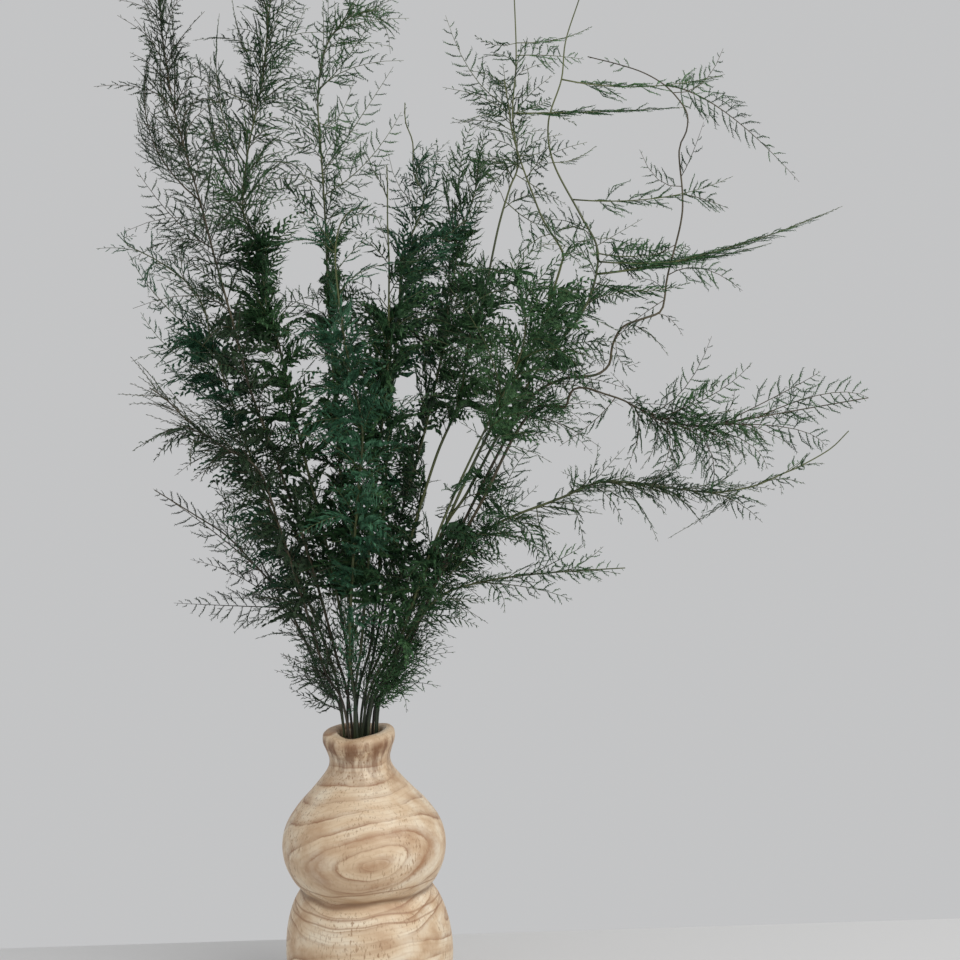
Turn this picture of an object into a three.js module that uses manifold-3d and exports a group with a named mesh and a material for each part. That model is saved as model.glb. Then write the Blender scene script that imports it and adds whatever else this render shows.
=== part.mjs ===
// A bunch of preserved asparagus fern in a turned wooden vase with two bellies and a narrow neck.
// Millimetres, +Z up, the origin at the middle of the vase's flat foot, seen from the front along +Y.
// Every leafy stem is one solid: the stem, the rachis of each frond, and the pinnae along it.
import * as THREE from "three";
import { mergeVertices } from "three/addons/utils/BufferGeometryUtils.js";
import Module from "manifold-3d";

const wasm = await Module();
wasm.setup();

// The vase
const RIM_HEIGHT = 235;
const BORE_RADIUS = 17.5;
const BORE_FLOOR = 30;
const LIP_RADIUS = 18; // inside this the bore stays straight
const LATHE_SEGMENTS = 26;
const AXIS_LEAN = 1.2; // the hand-turned bellies sit this far either side of the axis

// Outer profile as [radius, height], from the foot to the crease between the bellies and on to the lip
const LOWER_BELLY = [[47, 0], [52, 3], [60, 15], [66, 33], [68, 52], [65.8, 74], [60.5, 92], [52.5, 106]];
const UPPER_BELLY = [
  [52.5, 106], [59.5, 115], [65.2, 128], [66.8, 143], [63.2, 158], [53.5, 173],
  [42.5, 185], [33, 196], [26.4, 205], [24.6, 212], [26.2, 219], [28.6, 226], [28, 232], [25, RIM_HEIGHT],
];
const LIP_AND_BORE = [
  [20.5, RIM_HEIGHT], [18.2, 233], [BORE_RADIUS, 229], [BORE_RADIUS, BORE_FLOOR + 3], [14.5, BORE_FLOOR],
];

// The stems stand in rings in the mouth, and a little closer together on the floor of the bore
const FOOT_GAP = 0.3;
const FOOT_SPREAD = 0.8;
const STEM_RADIUS = 1.7;
const STEM_TIP_RADIUS = 0.5;
const STEM_SIDES = 4;
const RING_START = new THREE.Vector3(0.3, 1, 0.2); // the way the first corner of its foot faces

// The fronds
const ROOT_RADIUS = 0.35; // inside the stem, so that the frond leaves it through one face
const RACHIS_RADIUS = 0.9;
const RACHIS_TIP_RADIUS = 0.45;
const RACHIS_STEPS = 3;
const RACHIS_RING = [[0, 1], [-0.87, -0.5], [0.87, -0.5]]; // its corners, across and up, at a radius of 1
const CLEARANCE = 0.9; // between two stems' solids
const SWINGS = [0, 12, -12, 24, -24, 36, -36]; // degrees a frond turns about its stem to hang clear
const SHIFTS = [0, 6, -6, 12, -12, 20, -20]; // how far a placed frond's tip moves back to hang clear
const LOWEST_TIP = RIM_HEIGHT + 14;
const LOW_FRONDS = { from: -0.72, to: 0.5, count: 1, reach: 62, lean: [30, 52] }; // just above the mouth

// The shape of a frond that a rule grows: how steeply it leaves the stem, how far it leans out and sags,
// the turn from one to the next and how far it strays, and its length as a share of the rule's reach
const START_LEAN = 30;
const REACH_LEAN = [48, 74];
const FIRST_CONTROL = 0.42; // the share of its length over which it bends away
const SAG = 0.16;
const TURN_STEP = 137.5;
const TURN_STRAY = 30;
const END_LENGTH = 0.62; // at both ends of the rule's range, rising to 1 in the middle
const LENGTH_DRAW = [0.8, 1.2];

// The pinnae, in pairs along the rachis. Their length swells from the first pair and tapers to the tip.
const PINNA_WIDTH = 3.4;
const PINNA_ANGLE = 52;
const PAIR_SPACING = 52;
const PAIR_RANGE = [0.12, 0.94]; // the part of the rachis that carries pairs
const LONGEST_PINNA = 34;
const PINNA_SHARE = 0.3; // the longest pinna's share of the rachis
const LEAST_PINNA = 0.3; // the shortest pinna's share of the longest
const SWELL = { start: 0.55, rise: 2.5, taper: 0.7 };
const PINNA_TRIALS = [1, 0.62, 0.36]; // shares of its length that a pinna keeps to hang clear

// The whole-number sequence of the draws, and the seed of each stem
const MULTIPLIER = 16807;
const MODULUS = 2147483647;
const FIRST_SEED = 101;
const SEED_STEP = 37;

const WELD = 1e-4; // corners closer than this are one
const PARALLEL = 1e-9; // two stretches are parallel below this
const NEARLY = 1e-6; // keeps a share just inside its last stretch

// The eye that the routes are read from. A route gives the place where the eye sees each point on the
// upright plane through the vase's axis, and the point then moves along its line of sight to its own depth.
const EYE = new THREE.Vector3(103.5, -1590, 617);

const FOLIAGE = new THREE.MeshStandardMaterial({ color: 0x1f4a33, roughness: 0.75, metalness: 0 });
const WOOD = new THREE.MeshStandardMaterial({ color: 0xd2ae82, roughness: 0.7, metalness: 0 });

// Each stem: its name, its place in the mouth as [radius, angle], the depth of its tip, its route as
// [x, z], its rule fronds as { from, to, count, reach, turn }, with from and to in points of the route, and
// its placed fronds as [point of the route, tip x, tip z, tip depth, roll, bend x, bend z]. A frond of
// roll 0 lies flat and one of roll 90 faces the front.
const STEMS = [
  {
    name: "stem_right_tall", mouth: [6.8, 50], depth: 40,
    route: [[35, 308], [71, 393], [93, 426], [126, 483], [156, 528], [183, 559], [197, 584],
      [202, 616], [189, 644], [169, 685], [166, 717], [177, 749], [181, 778], [192, 809],
      [200, 832]],
    rule: { from: 1, to: 7, count: 5, reach: 85, turn: 20 },
    placed: [[6.4, 396, 644, 90, 14, 295, 603], [6.7, 340, 617, 70, 10, 267, 598],
      [6.9, 275, 617, 110, 60, 235, 605], [6.2, 275, 588, 20, 20, 235, 575],
      [7.1, 238, 639, 40, 85, 209, 623], [8.3, 310, 670, 20, 20, 258, 647],
      [9, 203, 697, 60, 30, 186, 683], [9, 143, 692, 60, 60, 155, 683],
      [10.3, 188, 714, 30, 40, 177, 719], [11, 305, 749, 70, 16, 238, 734],
      [5.6, 254, 584, -10, 50, 203, 583], [7.6, 187, 651, 60, 80, 196, 630],
      [7.6, 150, 640, 60, 70, 177, 644]],
  },
  {
    name: "stem_right_curl", mouth: [13.8, 45], depth: 75,
    route: [[30, 275], [56, 340], [86, 396], [120, 459], [145, 499], [164, 512], [180, 516],
      [198, 517], [209, 525], [212, 540], [220, 554], [235, 560], [250, 565], [254, 575],
      [257, 594], [268, 634], [270, 657], [268, 691], [274, 706], [275, 719], [269, 730],
      [258, 742], [242, 752], [223, 759], [198, 766]],
    rule: { from: 1, to: 6, count: 5, reach: 70, turn: 110 },
    placed: [[21, 362, 664, 110, 80, 299, 737], [20.5, 304, 769, 95, 75, 290, 733],
      [16.4, 288, 713, 45, 85, 276, 680], [16, 306, 645, 120, 50, 284, 655],
      [16.2, 237, 693, 30, 80, 248, 661], [14, 316, 580, 100, 75, 283, 610],
      [13, 212, 546, 40, 60, 234, 563], [14.6, 218, 609, 60, 50, 243, 605],
      [9.4, 234, 526, 40, 70, 213, 516]],
  },
  {
    name: "stem_right_wiggle", mouth: [6.8, -10], depth: -60,
    route: [[36, 291], [69, 360], [103, 416], [130, 467], [149, 492], [162, 493], [173, 492],
      [176, 499], [180, 506], [190, 507], [204, 502], [220, 496], [237, 486], [252, 478],
      [280, 474], [312, 477], [352, 483], [415, 492]],
    rule: { from: 1, to: 5, count: 4, reach: 75, turn: 70 },
    placed: [[12.2, 291, 545, -40, 75, 273, 495], [12.6, 323, 523, -70, 75, 297, 494],
      [13.2, 279, 398, -80, 60, 312, 461], [13, 254, 435, -20, 60, 272, 463],
      [12.6, 232, 440, -60, 60, 252, 463], [12, 210, 519, -30, 60, 230, 496],
      [12.8, 297, 510, -90, 70, 281, 494], [13.2, 334, 437, -60, 70, 328, 469],
      [14.2, 381, 454, -50, 75, 368, 476], [14.6, 377, 514, -70, 80, 361, 504],
      [15.4, 415, 492, -60, 80, 391, 507], [10.6, 168, 461, -70, 60, 201, 481]],
  },
  {
    name: "stem_right_low", mouth: [13.8, 12], depth: 30,
    route: [[30, 288], [56, 340], [82, 376], [118, 401], [167, 419], [199, 431], [230, 429],
      [260, 424], [291, 420], [322, 424], [345, 433], [360, 439], [384, 452], [399, 466]],
    rule: { from: 1, to: 5, count: 4, reach: 75, turn: 150 },
    placed: [[8.6, 253, 384, 20, 60, 307, 413], [7.2, 327, 419, 60, 50, 296, 431],
      [6.2, 280, 446, 40, 60, 248, 439], [4.2, 186, 378, 30, 80, 183, 401],
      [3.6, 166, 369, 60, 75, 150, 382], [3, 152, 466, 50, 15, 120, 443],
      [4.8, 216, 396, -10, 80, 215, 416], [8, 333, 408, 60, 30, 313, 418],
      [2.6, 150, 430, 50, 60, 126, 408]],
  },
  {
    name: "stem_right_lowest", mouth: [13.8, -22], depth: -58,
    route: [[21, 267], [39, 308], [68, 342], [101, 353], [141, 358], [182, 360], [218, 361]],
    rule: { from: 0.6, to: 3, count: 4, reach: 55, turn: 30 },
    placed: [[3, 175, 336, -30, 50, 149, 349], [4, 187, 381, -95, 60, 166, 369],
      [2, 118, 387, -60, 70, 77, 372], [0.2, 38, 248, -30, 60, 40, 267],
      [0.6, 55, 299, -40, 60, 38, 295], [1.4, 92, 329, -40, 70, 68, 319]],
  },
  {
    name: "stem_centre_tall", mouth: [0, 0], depth: 25,
    route: [[23, 308], [41, 373], [68, 453], [89, 500], [98, 546], [110, 578], [124, 635],
      [134, 666], [141, 685], [138, 724], [142, 764], [142, 811], [141, 841]],
    rule: { from: 1, to: 7, count: 5, reach: 80, turn: 200 },
    placed: [[9, 277, 725, 10, 12, 207, 722], [9, 168, 735, 60, 40, 160, 728],
      [9.1, 109, 728, -20, 30, 122, 726], [9.1, 88, 801, 0, 80, 105, 742],
      [10.3, 202, 789, 50, 15, 177, 776], [10.3, 110, 785, 20, 25, 125, 773],
      [10.1, 195, 764, 80, 70, 169, 769], [9.3, 150, 762, 30, 80, 156, 734],
      [8.6, 90, 722, 20, 50, 120, 713], [8.2, 172, 707, 50, 80, 162, 687],
      [7.6, 178, 652, 60, 70, 158, 664], [6.6, 167, 644, 60, 75, 161, 625],
      [8, 116, 655, 60, 70, 128, 686]],
  },
  {
    name: "stem_centre_cross", mouth: [6.8, -70], depth: -55,
    route: [[31, 308], [61, 372], [96, 444], [130, 507], [155, 554], [164, 579], [173, 605],
      [174, 616], [160, 640], [151, 664], [143, 688], [137, 711], [135, 731], [132, 750]],
    rule: { from: 1, to: 5, count: 5, reach: 80, turn: 260 },
    placed: [[11.6, 84, 746, -70, 40, 119, 740], [11, 89, 718, -30, 20, 120, 724],
      [9.4, 196, 700, -80, 70, 159, 694], [11.2, 170, 752, -90, 80, 145, 737],
      [7.6, 130, 590, -70, 75, 144, 628]],
  },
  {
    name: "stem_centre_curve", mouth: [13.8, 108], depth: 70,
    route: [[12, 309], [23, 390], [31, 470], [36, 518], [43, 565], [47, 612], [54, 629], [63, 648],
      [66, 664], [59, 680], [59, 704], [54, 720], [54, 735]],
    rule: { from: 1, to: 6, count: 5, reach: 80, turn: 320 },
    placed: [[4.4, 121, 653, 60, 60, 58, 623], [5, 115, 664, 90, 70, 77, 613],
      [8.1, 78, 707, 90, 80, 80, 676], [9, 88, 705, 60, 75, 72, 690], [7.4, 39, 699, 60, 80, 44, 660],
      [6.6, 40, 668, 90, 75, 58, 658]],
  },
  {
    name: "stem_centre_straight", mouth: [6.8, -130], depth: -15,
    route: [[4, 309], [14, 390], [25, 470], [32, 518], [35, 567], [37, 609], [37, 641], [38, 672],
      [38, 687]],
    rule: { from: 1, to: 4.4, count: 7, reach: 85, turn: 45 },
    placed: [[5, 3, 640, -40, 20, 27, 627], [6.6, 16, 700, 10, 60, 32, 680],
      [5.4, 26, 652, -30, 70, 34, 636]],
  },
  {
    name: "stem_left_tall", mouth: [6.8, 110], depth: 30,
    route: [[-9, 309], [-22, 391], [-39, 472], [-52, 545], [-62, 585], [-63, 624], [-75, 648],
      [-76, 668], [-69, 708], [-57, 756], [-50, 802], [-45, 843]],
    rule: { from: 0.8, to: 11, count: 10, reach: 85, turn: 100 },
    placed: [[8.6, -152, 791, 10, 60, -113, 759], [7.6, -88, 808, 0, 60, -102, 734],
      [7, -96, 776, 40, 60, -108, 703], [9, -78, 822, 40, 70, -74, 772],
      [8.5, -34, 772, 20, 60, -57, 762], [8.8, -60, 796, 60, 70, -56, 771],
      [8.2, -140, 726, 60, 60, -88, 718], [6.6, -106, 703, -10, 70, -98, 672],
      [9.4, -20, 810, 10, 75, -38, 778], [6.4, -130, 690, 50, 60, -92, 679]],
  },
  {
    name: "stem_left_outer", mouth: [6.8, 170], depth: -40,
    route: [[-18, 301], [-35, 375], [-56, 449], [-77, 514], [-89, 570], [-100, 617], [-110, 664],
      [-120, 704], [-128, 743], [-133, 789], [-135, 827]],
    rule: { from: 0.8, to: 9, count: 11, reach: 75, turn: 15 },
    placed: [[6, -136, 797, -45, 60, -173, 717], [7, -133, 787, -60, 70, -144, 743],
      [7.8, -125, 825, -30, 60, -124, 773], [6.6, -114, 764, -20, 60, -123, 719],
      [5.2, -160, 692, -60, 70, -134, 646], [5.8, -96, 719, -70, 70, -101, 680],
      [-0.25, -59, 299, -30, 60, -45, 266], [-0.5, -46, 257, -50, 60, -29, 257]],
  },
  {
    name: "stem_left_mid", mouth: [13.8, -162], depth: 45,
    route: [[-22, 293], [-44, 359], [-65, 417], [-83, 474], [-97, 522], [-106, 553], [-110, 577],
      [-121, 598], [-144, 617], [-169, 631]],
    rule: { from: 0.8, to: 6, count: 9, reach: 70, turn: 80 },
    placed: [[4, -161, 578, 20, 70, -141, 538], [4.8, -169, 626, 70, 70, -153, 587],
      [3.4, -153, 548, 50, 70, -114, 503], [6.2, -135, 634, 50, 70, -134, 612],
      [7.2, -120, 650, 20, 70, -131, 622]],
  },
  {
    name: "stem_left_dark", mouth: [13.8, -130], depth: -60,
    route: [[-27, 285], [-42, 343], [-58, 401], [-73, 449], [-101, 469], [-125, 488], [-144, 508],
      [-157, 518]],
    rule: { from: 0.8, to: 4, count: 6, reach: 60, turn: 200 },
    placed: [[4.6, -161, 497, -60, 60, -130, 485], [3.6, -144, 514, -80, 60, -106, 484],
      [3, -115, 463, -40, 60, -100, 444], [2.8, -110, 418, -40, 60, -89, 441]],
  },
  {
    name: "stem_left_pale", mouth: [13.8, 170], depth: 55,
    route: [[-27, 269], [-42, 310], [-60, 348], [-83, 377], [-102, 398], [-126, 415], [-157, 436]],
    rule: { from: 1, to: 2.4, count: 3, reach: 55, turn: 0 },
    placed: [[2.7, -158, 437, 60, 80, -118, 409], [1.7, -146, 344, 60, 80, -99, 340],
      [2, -109, 443, 40, 60, -94, 410], [1.2, -131, 379, 80, 70, -74, 365],
      [0.3, -62, 300, 10, 60, -42, 292]],
  },
  {
    name: "stem_top_middle", mouth: [13.8, 141], depth: 60,
    route: [[-4, 309], [-6, 391], [-9, 471], [-11, 543], [-12, 599], [-12, 646], [-13, 693],
      [-14, 739], [-7, 777], [10, 800], [36, 808]],
    rule: { from: 1, to: 8.6, count: 8, reach: 80, turn: 250 },
    placed: [[6.2, -43, 734, 40, 60, -32, 709], [5.6, -58, 666, 60, 60, -47, 695],
      [6.6, 17, 760, 70, 85, 1, 708], [7.2, 37, 810, 60, 80, 8, 762], [5.4, 51, 728, 80, 80, 26, 684],
      [5, -44, 684, 90, 60, -39, 662], [5.8, 46, 763, 90, 70, 2, 700], [5, 34, 645, 20, 25, 5, 657],
      [8.4, 30, 830, 90, 80, 14, 807]],
  },
  {
    name: "stem_front_middle", mouth: [13.8, -97], depth: -95,
    route: [[-6, 293], [-2, 358], [5, 423], [11, 479], [3, 527], [-3, 575], [-5, 622], [4, 649],
      [24, 656]],
    rule: { from: 0.6, to: 7, count: 9, reach: 85, turn: 290 },
    placed: [[5.6, 34, 640, -60, 15, 7, 623], [6, -40, 660, -90, 60, -13, 642]],
  },
  {
    name: "stem_back_middle", mouth: [13.8, 78], depth: 110,
    route: [[14, 300], [29, 365], [43, 422], [61, 477], [75, 533], [84, 580], [94, 627], [107, 666],
      [112, 696]],
    rule: { from: 1, to: 8, count: 8, reach: 75, turn: 130 },
    placed: [[5.2, 121, 659, 90, 60, 75, 628], [6.3, 107, 720, 110, 70, 86, 674],
      [7, 121, 727, 90, 70, 109, 689], [6, 90, 697, 120, 70, 77, 659], [3.4, 112, 660, 60, 80, 85, 567],
      [3, 60, 590, 50, 70, 65, 524]],
  },
  {
    name: "stem_front_right", mouth: [13.8, -60], depth: -90,
    route: [[26, 284], [44, 332], [66, 388], [88, 436], [113, 484], [134, 523], [143, 554],
      [140, 586], [133, 608]],
    rule: { from: 0.6, to: 8, count: 9, reach: 80, turn: 340 },
    placed: [[4.4, 84, 590, -110, 70, 120, 542]],
  },
];

const UP = new THREE.Vector3(0, 0, 1);
const radians = THREE.MathUtils.degToRad;

// The same draws each time, from a whole-number sequence
function drawsFrom(seed) {
  let state = seed;
  return () => {
    state = (state * MULTIPLIER) % MODULUS;
    return state / MODULUS;
  };
}

// The point that the eye sees at (x, z) on the plane through the axis, moved to its own depth
function seenAt(x, z, depth) {
  const share = (depth - EYE.y) / -EYE.y;
  return new THREE.Vector3(EYE.x + (x - EYE.x) * share, depth, EYE.z + (z - EYE.z) * share);
}

// From the foot on the floor of the bore, through the mouth and along the route
function stemLine(stem) {
  const [ring, angle] = stem.mouth;
  const x = ring * Math.cos(radians(angle));
  const y = ring * Math.sin(radians(angle));
  const foot = new THREE.Vector3(x * FOOT_SPREAD, y * FOOT_SPREAD, BORE_FLOOR + FOOT_GAP);
  const mouth = new THREE.Vector3(x, y, RIM_HEIGHT);
  const last = stem.route.length;
  const above = stem.route.map(([rx, rz], i) => seenAt(rx, rz, y + (stem.depth - y) * ((i + 1) / last)));
  return [foot, mouth, ...above];
}

// A place on the stem, counted in points of its route
function onStem(line, place) {
  const at = Math.min(place + 2, line.length - 1.001);
  const i = Math.floor(at);
  const point = line[i].clone().lerp(line[i + 1], at - i);
  const along = line[i + 1].clone().sub(line[i]).normalize();
  return { point, along };
}

function bezier(a, b, c, t) {
  const point = a.clone().multiplyScalar((1 - t) ** 2);
  return point.addScaledVector(b, 2 * t * (1 - t)).addScaledVector(c, t * t);
}

function rachis(base, control, tip) {
  return Array.from({ length: RACHIS_STEPS + 1 }, (_, i) => bezier(base, control, tip, i / RACHIS_STEPS));
}

// A direction turned from along towards out
function turned(along, out, angle) {
  return along.clone().multiplyScalar(Math.cos(angle)).addScaledVector(out, Math.sin(angle));
}

// A frond that the rule grows: out from the stem at an azimuth, arching and sagging
function ruleFrond(line, place, azimuth, lean, length, roll) {
  const { point, along } = onStem(line, place);
  const out = new THREE.Vector3(Math.cos(radians(azimuth)), Math.sin(radians(azimuth)), 0);
  out.addScaledVector(along, -out.dot(along)).normalize();
  const start = turned(along, out, radians(START_LEAN));
  const reach = turned(along, out, radians(lean));
  const tip = point.clone().addScaledVector(reach, length).addScaledVector(UP, -SAG * length);
  const control = point.clone().addScaledVector(start, FIRST_CONTROL * length);
  return { points: rachis(point, control, tip), roll };
}

// A frond placed by its bend and its tip
function placedFrond(line, [place, x, z, depth, roll, bendX, bendZ], shift) {
  const { point } = onStem(line, place);
  const tip = seenAt(x, z, depth + shift);
  const control = seenAt(bendX, bendZ, (point.y + tip.y) / 2);
  return { points: rachis(point, control, tip), roll };
}

// The shortest distance between two straight stretches
function apart(p, q, r, s) {
  const u = q.clone().sub(p);
  const v = s.clone().sub(r);
  const w = p.clone().sub(r);
  const a = u.dot(u);
  const b = u.dot(v);
  const c = v.dot(v);
  const d = u.dot(w);
  const e = v.dot(w);
  const skew = a * c - b * b;
  const clamp = (x) => Math.min(1, Math.max(0, x));
  let along = skew > PARALLEL ? clamp((b * e - c * d) / skew) : 0;
  const across = clamp((b * along + e) / c);
  along = clamp((b * across - d) / a);
  return w.addScaledVector(u, along).addScaledVector(v, -across).length();
}

const taken = []; // every stretch so far: its ends, its thickest radius and its stem

function stretches(points, radius, stem) {
  return points.slice(1).map((end, i) => ({ start: points[i], end, radius, stem }));
}

function isClear(wanted) {
  return wanted.every((a) => taken.every((b) => b.stem === a.stem
    || apart(a.start, a.end, b.start, b.end) > a.radius + b.radius + CLEARANCE));
}

// The first of several trials that hangs clear of the other stems and of the vase
function firstClear(trials, stem) {
  for (const trial of trials) {
    const wanted = stretches(trial.points, RACHIS_RADIUS, stem);
    if (trial.points.every((p) => p.z > LOWEST_TIP) && isClear(wanted)) {
      taken.push(...wanted);
      return trial;
    }
  }
  return null;
}

function frondsOf(stem, line, seed) {
  const draw = drawsFrom(seed);
  const found = stem.placed.map((spec) => {
    const trials = SHIFTS.map((shift) => placedFrond(line, spec, shift));
    return firstClear(trials, stem.name);
  });
  const grow = ({ from, to, count, reach, lean }, turn) => {
    for (let i = 0; i < count; i++) {
      const share = (i + 0.5) / count;
      const azimuth = turn + TURN_STEP * i + TURN_STRAY * (draw() - 0.5);
      const leaning = THREE.MathUtils.lerp(...lean, draw());
      const full = THREE.MathUtils.lerp(END_LENGTH, 1, Math.sin(Math.PI * share));
      const length = reach * full * THREE.MathUtils.lerp(...LENGTH_DRAW, draw());
      const roll = 180 * draw();
      const place = from + (to - from) * share;
      const trials = SWINGS.map((swing) => ruleFrond(line, place, azimuth + swing, leaning, length, roll));
      found.push(firstClear(trials, stem.name));
    }
  };
  grow({ lean: REACH_LEAN, ...stem.rule }, stem.rule.turn);
  grow(LOW_FRONDS, stem.mouth[1]);
  return found.filter(Boolean);
}

// The directions at a share of a rachis: the point, along it, the side and the normal of the frond's plane
function frameAt({ points, roll }, share) {
  const at = Math.min(share * RACHIS_STEPS, RACHIS_STEPS - NEARLY);
  const i = Math.floor(at);
  const point = points[i].clone().lerp(points[i + 1], at - i);
  const along = points[i + 1].clone().sub(points[i]).normalize();
  const flat = UP.clone().addScaledVector(along, -UP.dot(along)).normalize();
  const normal = turned(flat, along.clone().cross(flat), radians(roll));
  return { point, along, normal, side: normal.clone().cross(along) };
}

// The pairs of pinnae of a frond, each with the tips of its left and right pinna, or null where a pinna
// would meet another stem
function pairsOf(frond, stem) {
  const length = frond.points.slice(1).reduce((sum, p, i) => sum + p.distanceTo(frond.points[i]), 0);
  const count = Math.max(2, Math.round(length / PAIR_SPACING));
  const longest = Math.min(LONGEST_PINNA, PINNA_SHARE * length);
  return Array.from({ length: count }, (_, k) => {
    const share = THREE.MathUtils.lerp(...PAIR_RANGE, (k + 0.5) / count);
    const { point, along, side } = frameAt(frond, share);
    const swell = Math.min(1, SWELL.start + SWELL.rise * share) * (1 - share) ** SWELL.taper;
    const size = longest * Math.max(LEAST_PINNA, swell);
    const tips = [-1, 1].map((hand) => {
      const direction = turned(along, side, hand * radians(PINNA_ANGLE));
      for (const kept of PINNA_TRIALS) {
        const tip = point.clone().addScaledVector(direction, size * kept);
        const wanted = stretches([point, tip], PINNA_WIDTH / 2, stem);
        if (tip.z > LOWEST_TIP && isClear(wanted)) {
          taken.push(...wanted);
          return tip;
        }
      }
      return null;
    });
    return { at: share, half: PINNA_WIDTH / 2 / length, left: tips[0], right: tips[1] };
  });
}

function solidFrom(geometry) {
  const bare = geometry.clone();
  bare.deleteAttribute("normal");
  bare.deleteAttribute("uv");
  const merged = mergeVertices(bare, WELD);
  const vertProperties = merged.attributes.position.array;
  const triVerts = new Uint32Array(merged.index.array);
  return new wasm.Manifold(new wasm.Mesh({ numProp: 3, vertProperties, triVerts }));
}

function geometryOf(solid) {
  const mesh = solid.getMesh();
  const geometry = new THREE.BufferGeometry();
  geometry.setAttribute("position", new THREE.BufferAttribute(mesh.vertProperties, 3));
  return geometry.setIndex(new THREE.BufferAttribute(mesh.triVerts, 1));
}

// A tapering rod along a line, closed at both ends
function taperedRod(points, radius, tipRadius, sides) {
  const corners = [];
  const faces = [];
  let across = RING_START;
  points.forEach((point, i) => {
    const before = points[Math.max(i - 1, 0)];
    const after = points[Math.min(i + 1, points.length - 1)];
    const along = after.clone().sub(before).normalize();
    across = across.clone().addScaledVector(along, -across.dot(along)).normalize();
    const other = along.clone().cross(across);
    const here = THREE.MathUtils.lerp(radius, tipRadius, i / (points.length - 1));
    for (let k = 0; k < sides; k++) {
      const turn = (2 * Math.PI * k) / sides;
      const corner = point.clone().addScaledVector(across, here * Math.cos(turn));
      corners.push(...corner.addScaledVector(other, here * Math.sin(turn)).toArray());
    }
  });
  for (let i = 0; i < points.length - 1; i++) {
    for (let k = 0; k < sides; k++) {
      const a = i * sides + k;
      const b = i * sides + ((k + 1) % sides);
      faces.push(a, b, b + sides, a, b + sides, a + sides);
    }
  }
  const end = (points.length - 1) * sides;
  for (let k = 1; k < sides - 1; k++) {
    faces.push(0, k + 1, k, end, end + k, end + k + 1);
  }
  const geometry = new THREE.BufferGeometry();
  geometry.setAttribute("position", new THREE.Float32BufferAttribute(corners, 3));
  return solidFrom(geometry.setIndex(faces));
}

// A frond in one piece: a three-sided rachis, with each pinna drawn out of its side to a point
function frondSolid(frond, pairs) {
  const corners = [];
  const faces = [];
  const ring = (share, radius) => {
    const { point, side, normal } = frameAt(frond, share);
    RACHIS_RING.forEach(([across, up]) => {
      const corner = point.clone().addScaledVector(side, across * radius);
      corners.push(corner.addScaledVector(normal, up * radius));
    });
  };
  const wall = (a, b, c, d, tip) => {
    if (!tip) {
      faces.push(a, b, c, a, c, d);
      return;
    }
    const apex = corners.push(tip) - 1;
    faces.push(a, b, apex, b, c, apex, c, d, apex, d, a, apex);
  };
  const radiusAt = (share) => THREE.MathUtils.lerp(RACHIS_RADIUS, RACHIS_TIP_RADIUS, share);
  const stops = [{ share: 0, radius: ROOT_RADIUS }];
  pairs.forEach(({ at, half }) => {
    stops.push({ share: at - half, radius: radiusAt(at) }, { share: at + half, radius: radiusAt(at) });
  });
  stops.push({ share: 1, radius: RACHIS_TIP_RADIUS });
  const first = stops.map(({ share, radius }) => {
    ring(share, radius);
    return corners.length - 3;
  });
  for (let i = 0; i < stops.length - 1; i++) {
    const [p, q] = [first[i], first[i + 1]];
    const pair = i % 2 ? pairs[(i - 1) / 2] : {};
    wall(p, p + 1, q + 1, q, pair.left);
    wall(p + 2, p, q, q + 2, pair.right);
    wall(p + 1, p + 2, q + 2, q + 1, null);
  }
  const end = first[stops.length - 1];
  faces.push(0, 2, 1, end, end + 1, end + 2);
  const geometry = new THREE.BufferGeometry().setFromPoints(corners);
  return solidFrom(geometry.setIndex(faces));
}

// The vase
function vaseMesh() {
  const profile = [[0, 0], ...LOWER_BELLY, ...UPPER_BELLY.slice(1), ...LIP_AND_BORE, [0, BORE_FLOOR]];
  const outline = profile.map(([radius, height]) => new THREE.Vector2(radius, height));
  const geometry = new THREE.LatheGeometry(outline, LATHE_SEGMENTS);
  geometry.rotateX(Math.PI / 2);
  const place = geometry.attributes.position;
  for (let i = 0; i < place.count; i++) {
    const outer = Math.hypot(place.getX(i), place.getY(i)) > LIP_RADIUS;
    const lean = outer ? AXIS_LEAN * Math.cos((Math.PI * place.getZ(i)) / RIM_HEIGHT) : 0;
    place.setX(i, place.getX(i) + lean);
  }
  const mesh = new THREE.Mesh(geometryOf(solidFrom(geometry)), WOOD);
  mesh.name = "vase";
  return mesh;
}

const lines = STEMS.map(stemLine);
lines.forEach((line, i) => taken.push(...stretches(line, STEM_RADIUS, STEMS[i].name)));
const fronds = STEMS.map((stem, i) => frondsOf(stem, lines[i], FIRST_SEED + SEED_STEP * i));
const pairs = STEMS.map((stem, i) => fronds[i].map((frond) => pairsOf(frond, stem.name)));

function stemMesh(stem, i) {
  const rod = taperedRod(lines[i], STEM_RADIUS, STEM_TIP_RADIUS, STEM_SIDES);
  const grown = fronds[i].map((frond, k) => frondSolid(frond, pairs[i][k]));
  const mesh = new THREE.Mesh(geometryOf(wasm.Manifold.union([rod, ...grown])), FOLIAGE);
  mesh.name = stem.name;
  return mesh;
}

const group = new THREE.Group();
group.add(vaseMesh(), ...STEMS.map(stemMesh));

export default group;
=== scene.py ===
import math
from collections import namedtuple

import bpy
import numpy as np
from mathutils import Matrix


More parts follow.
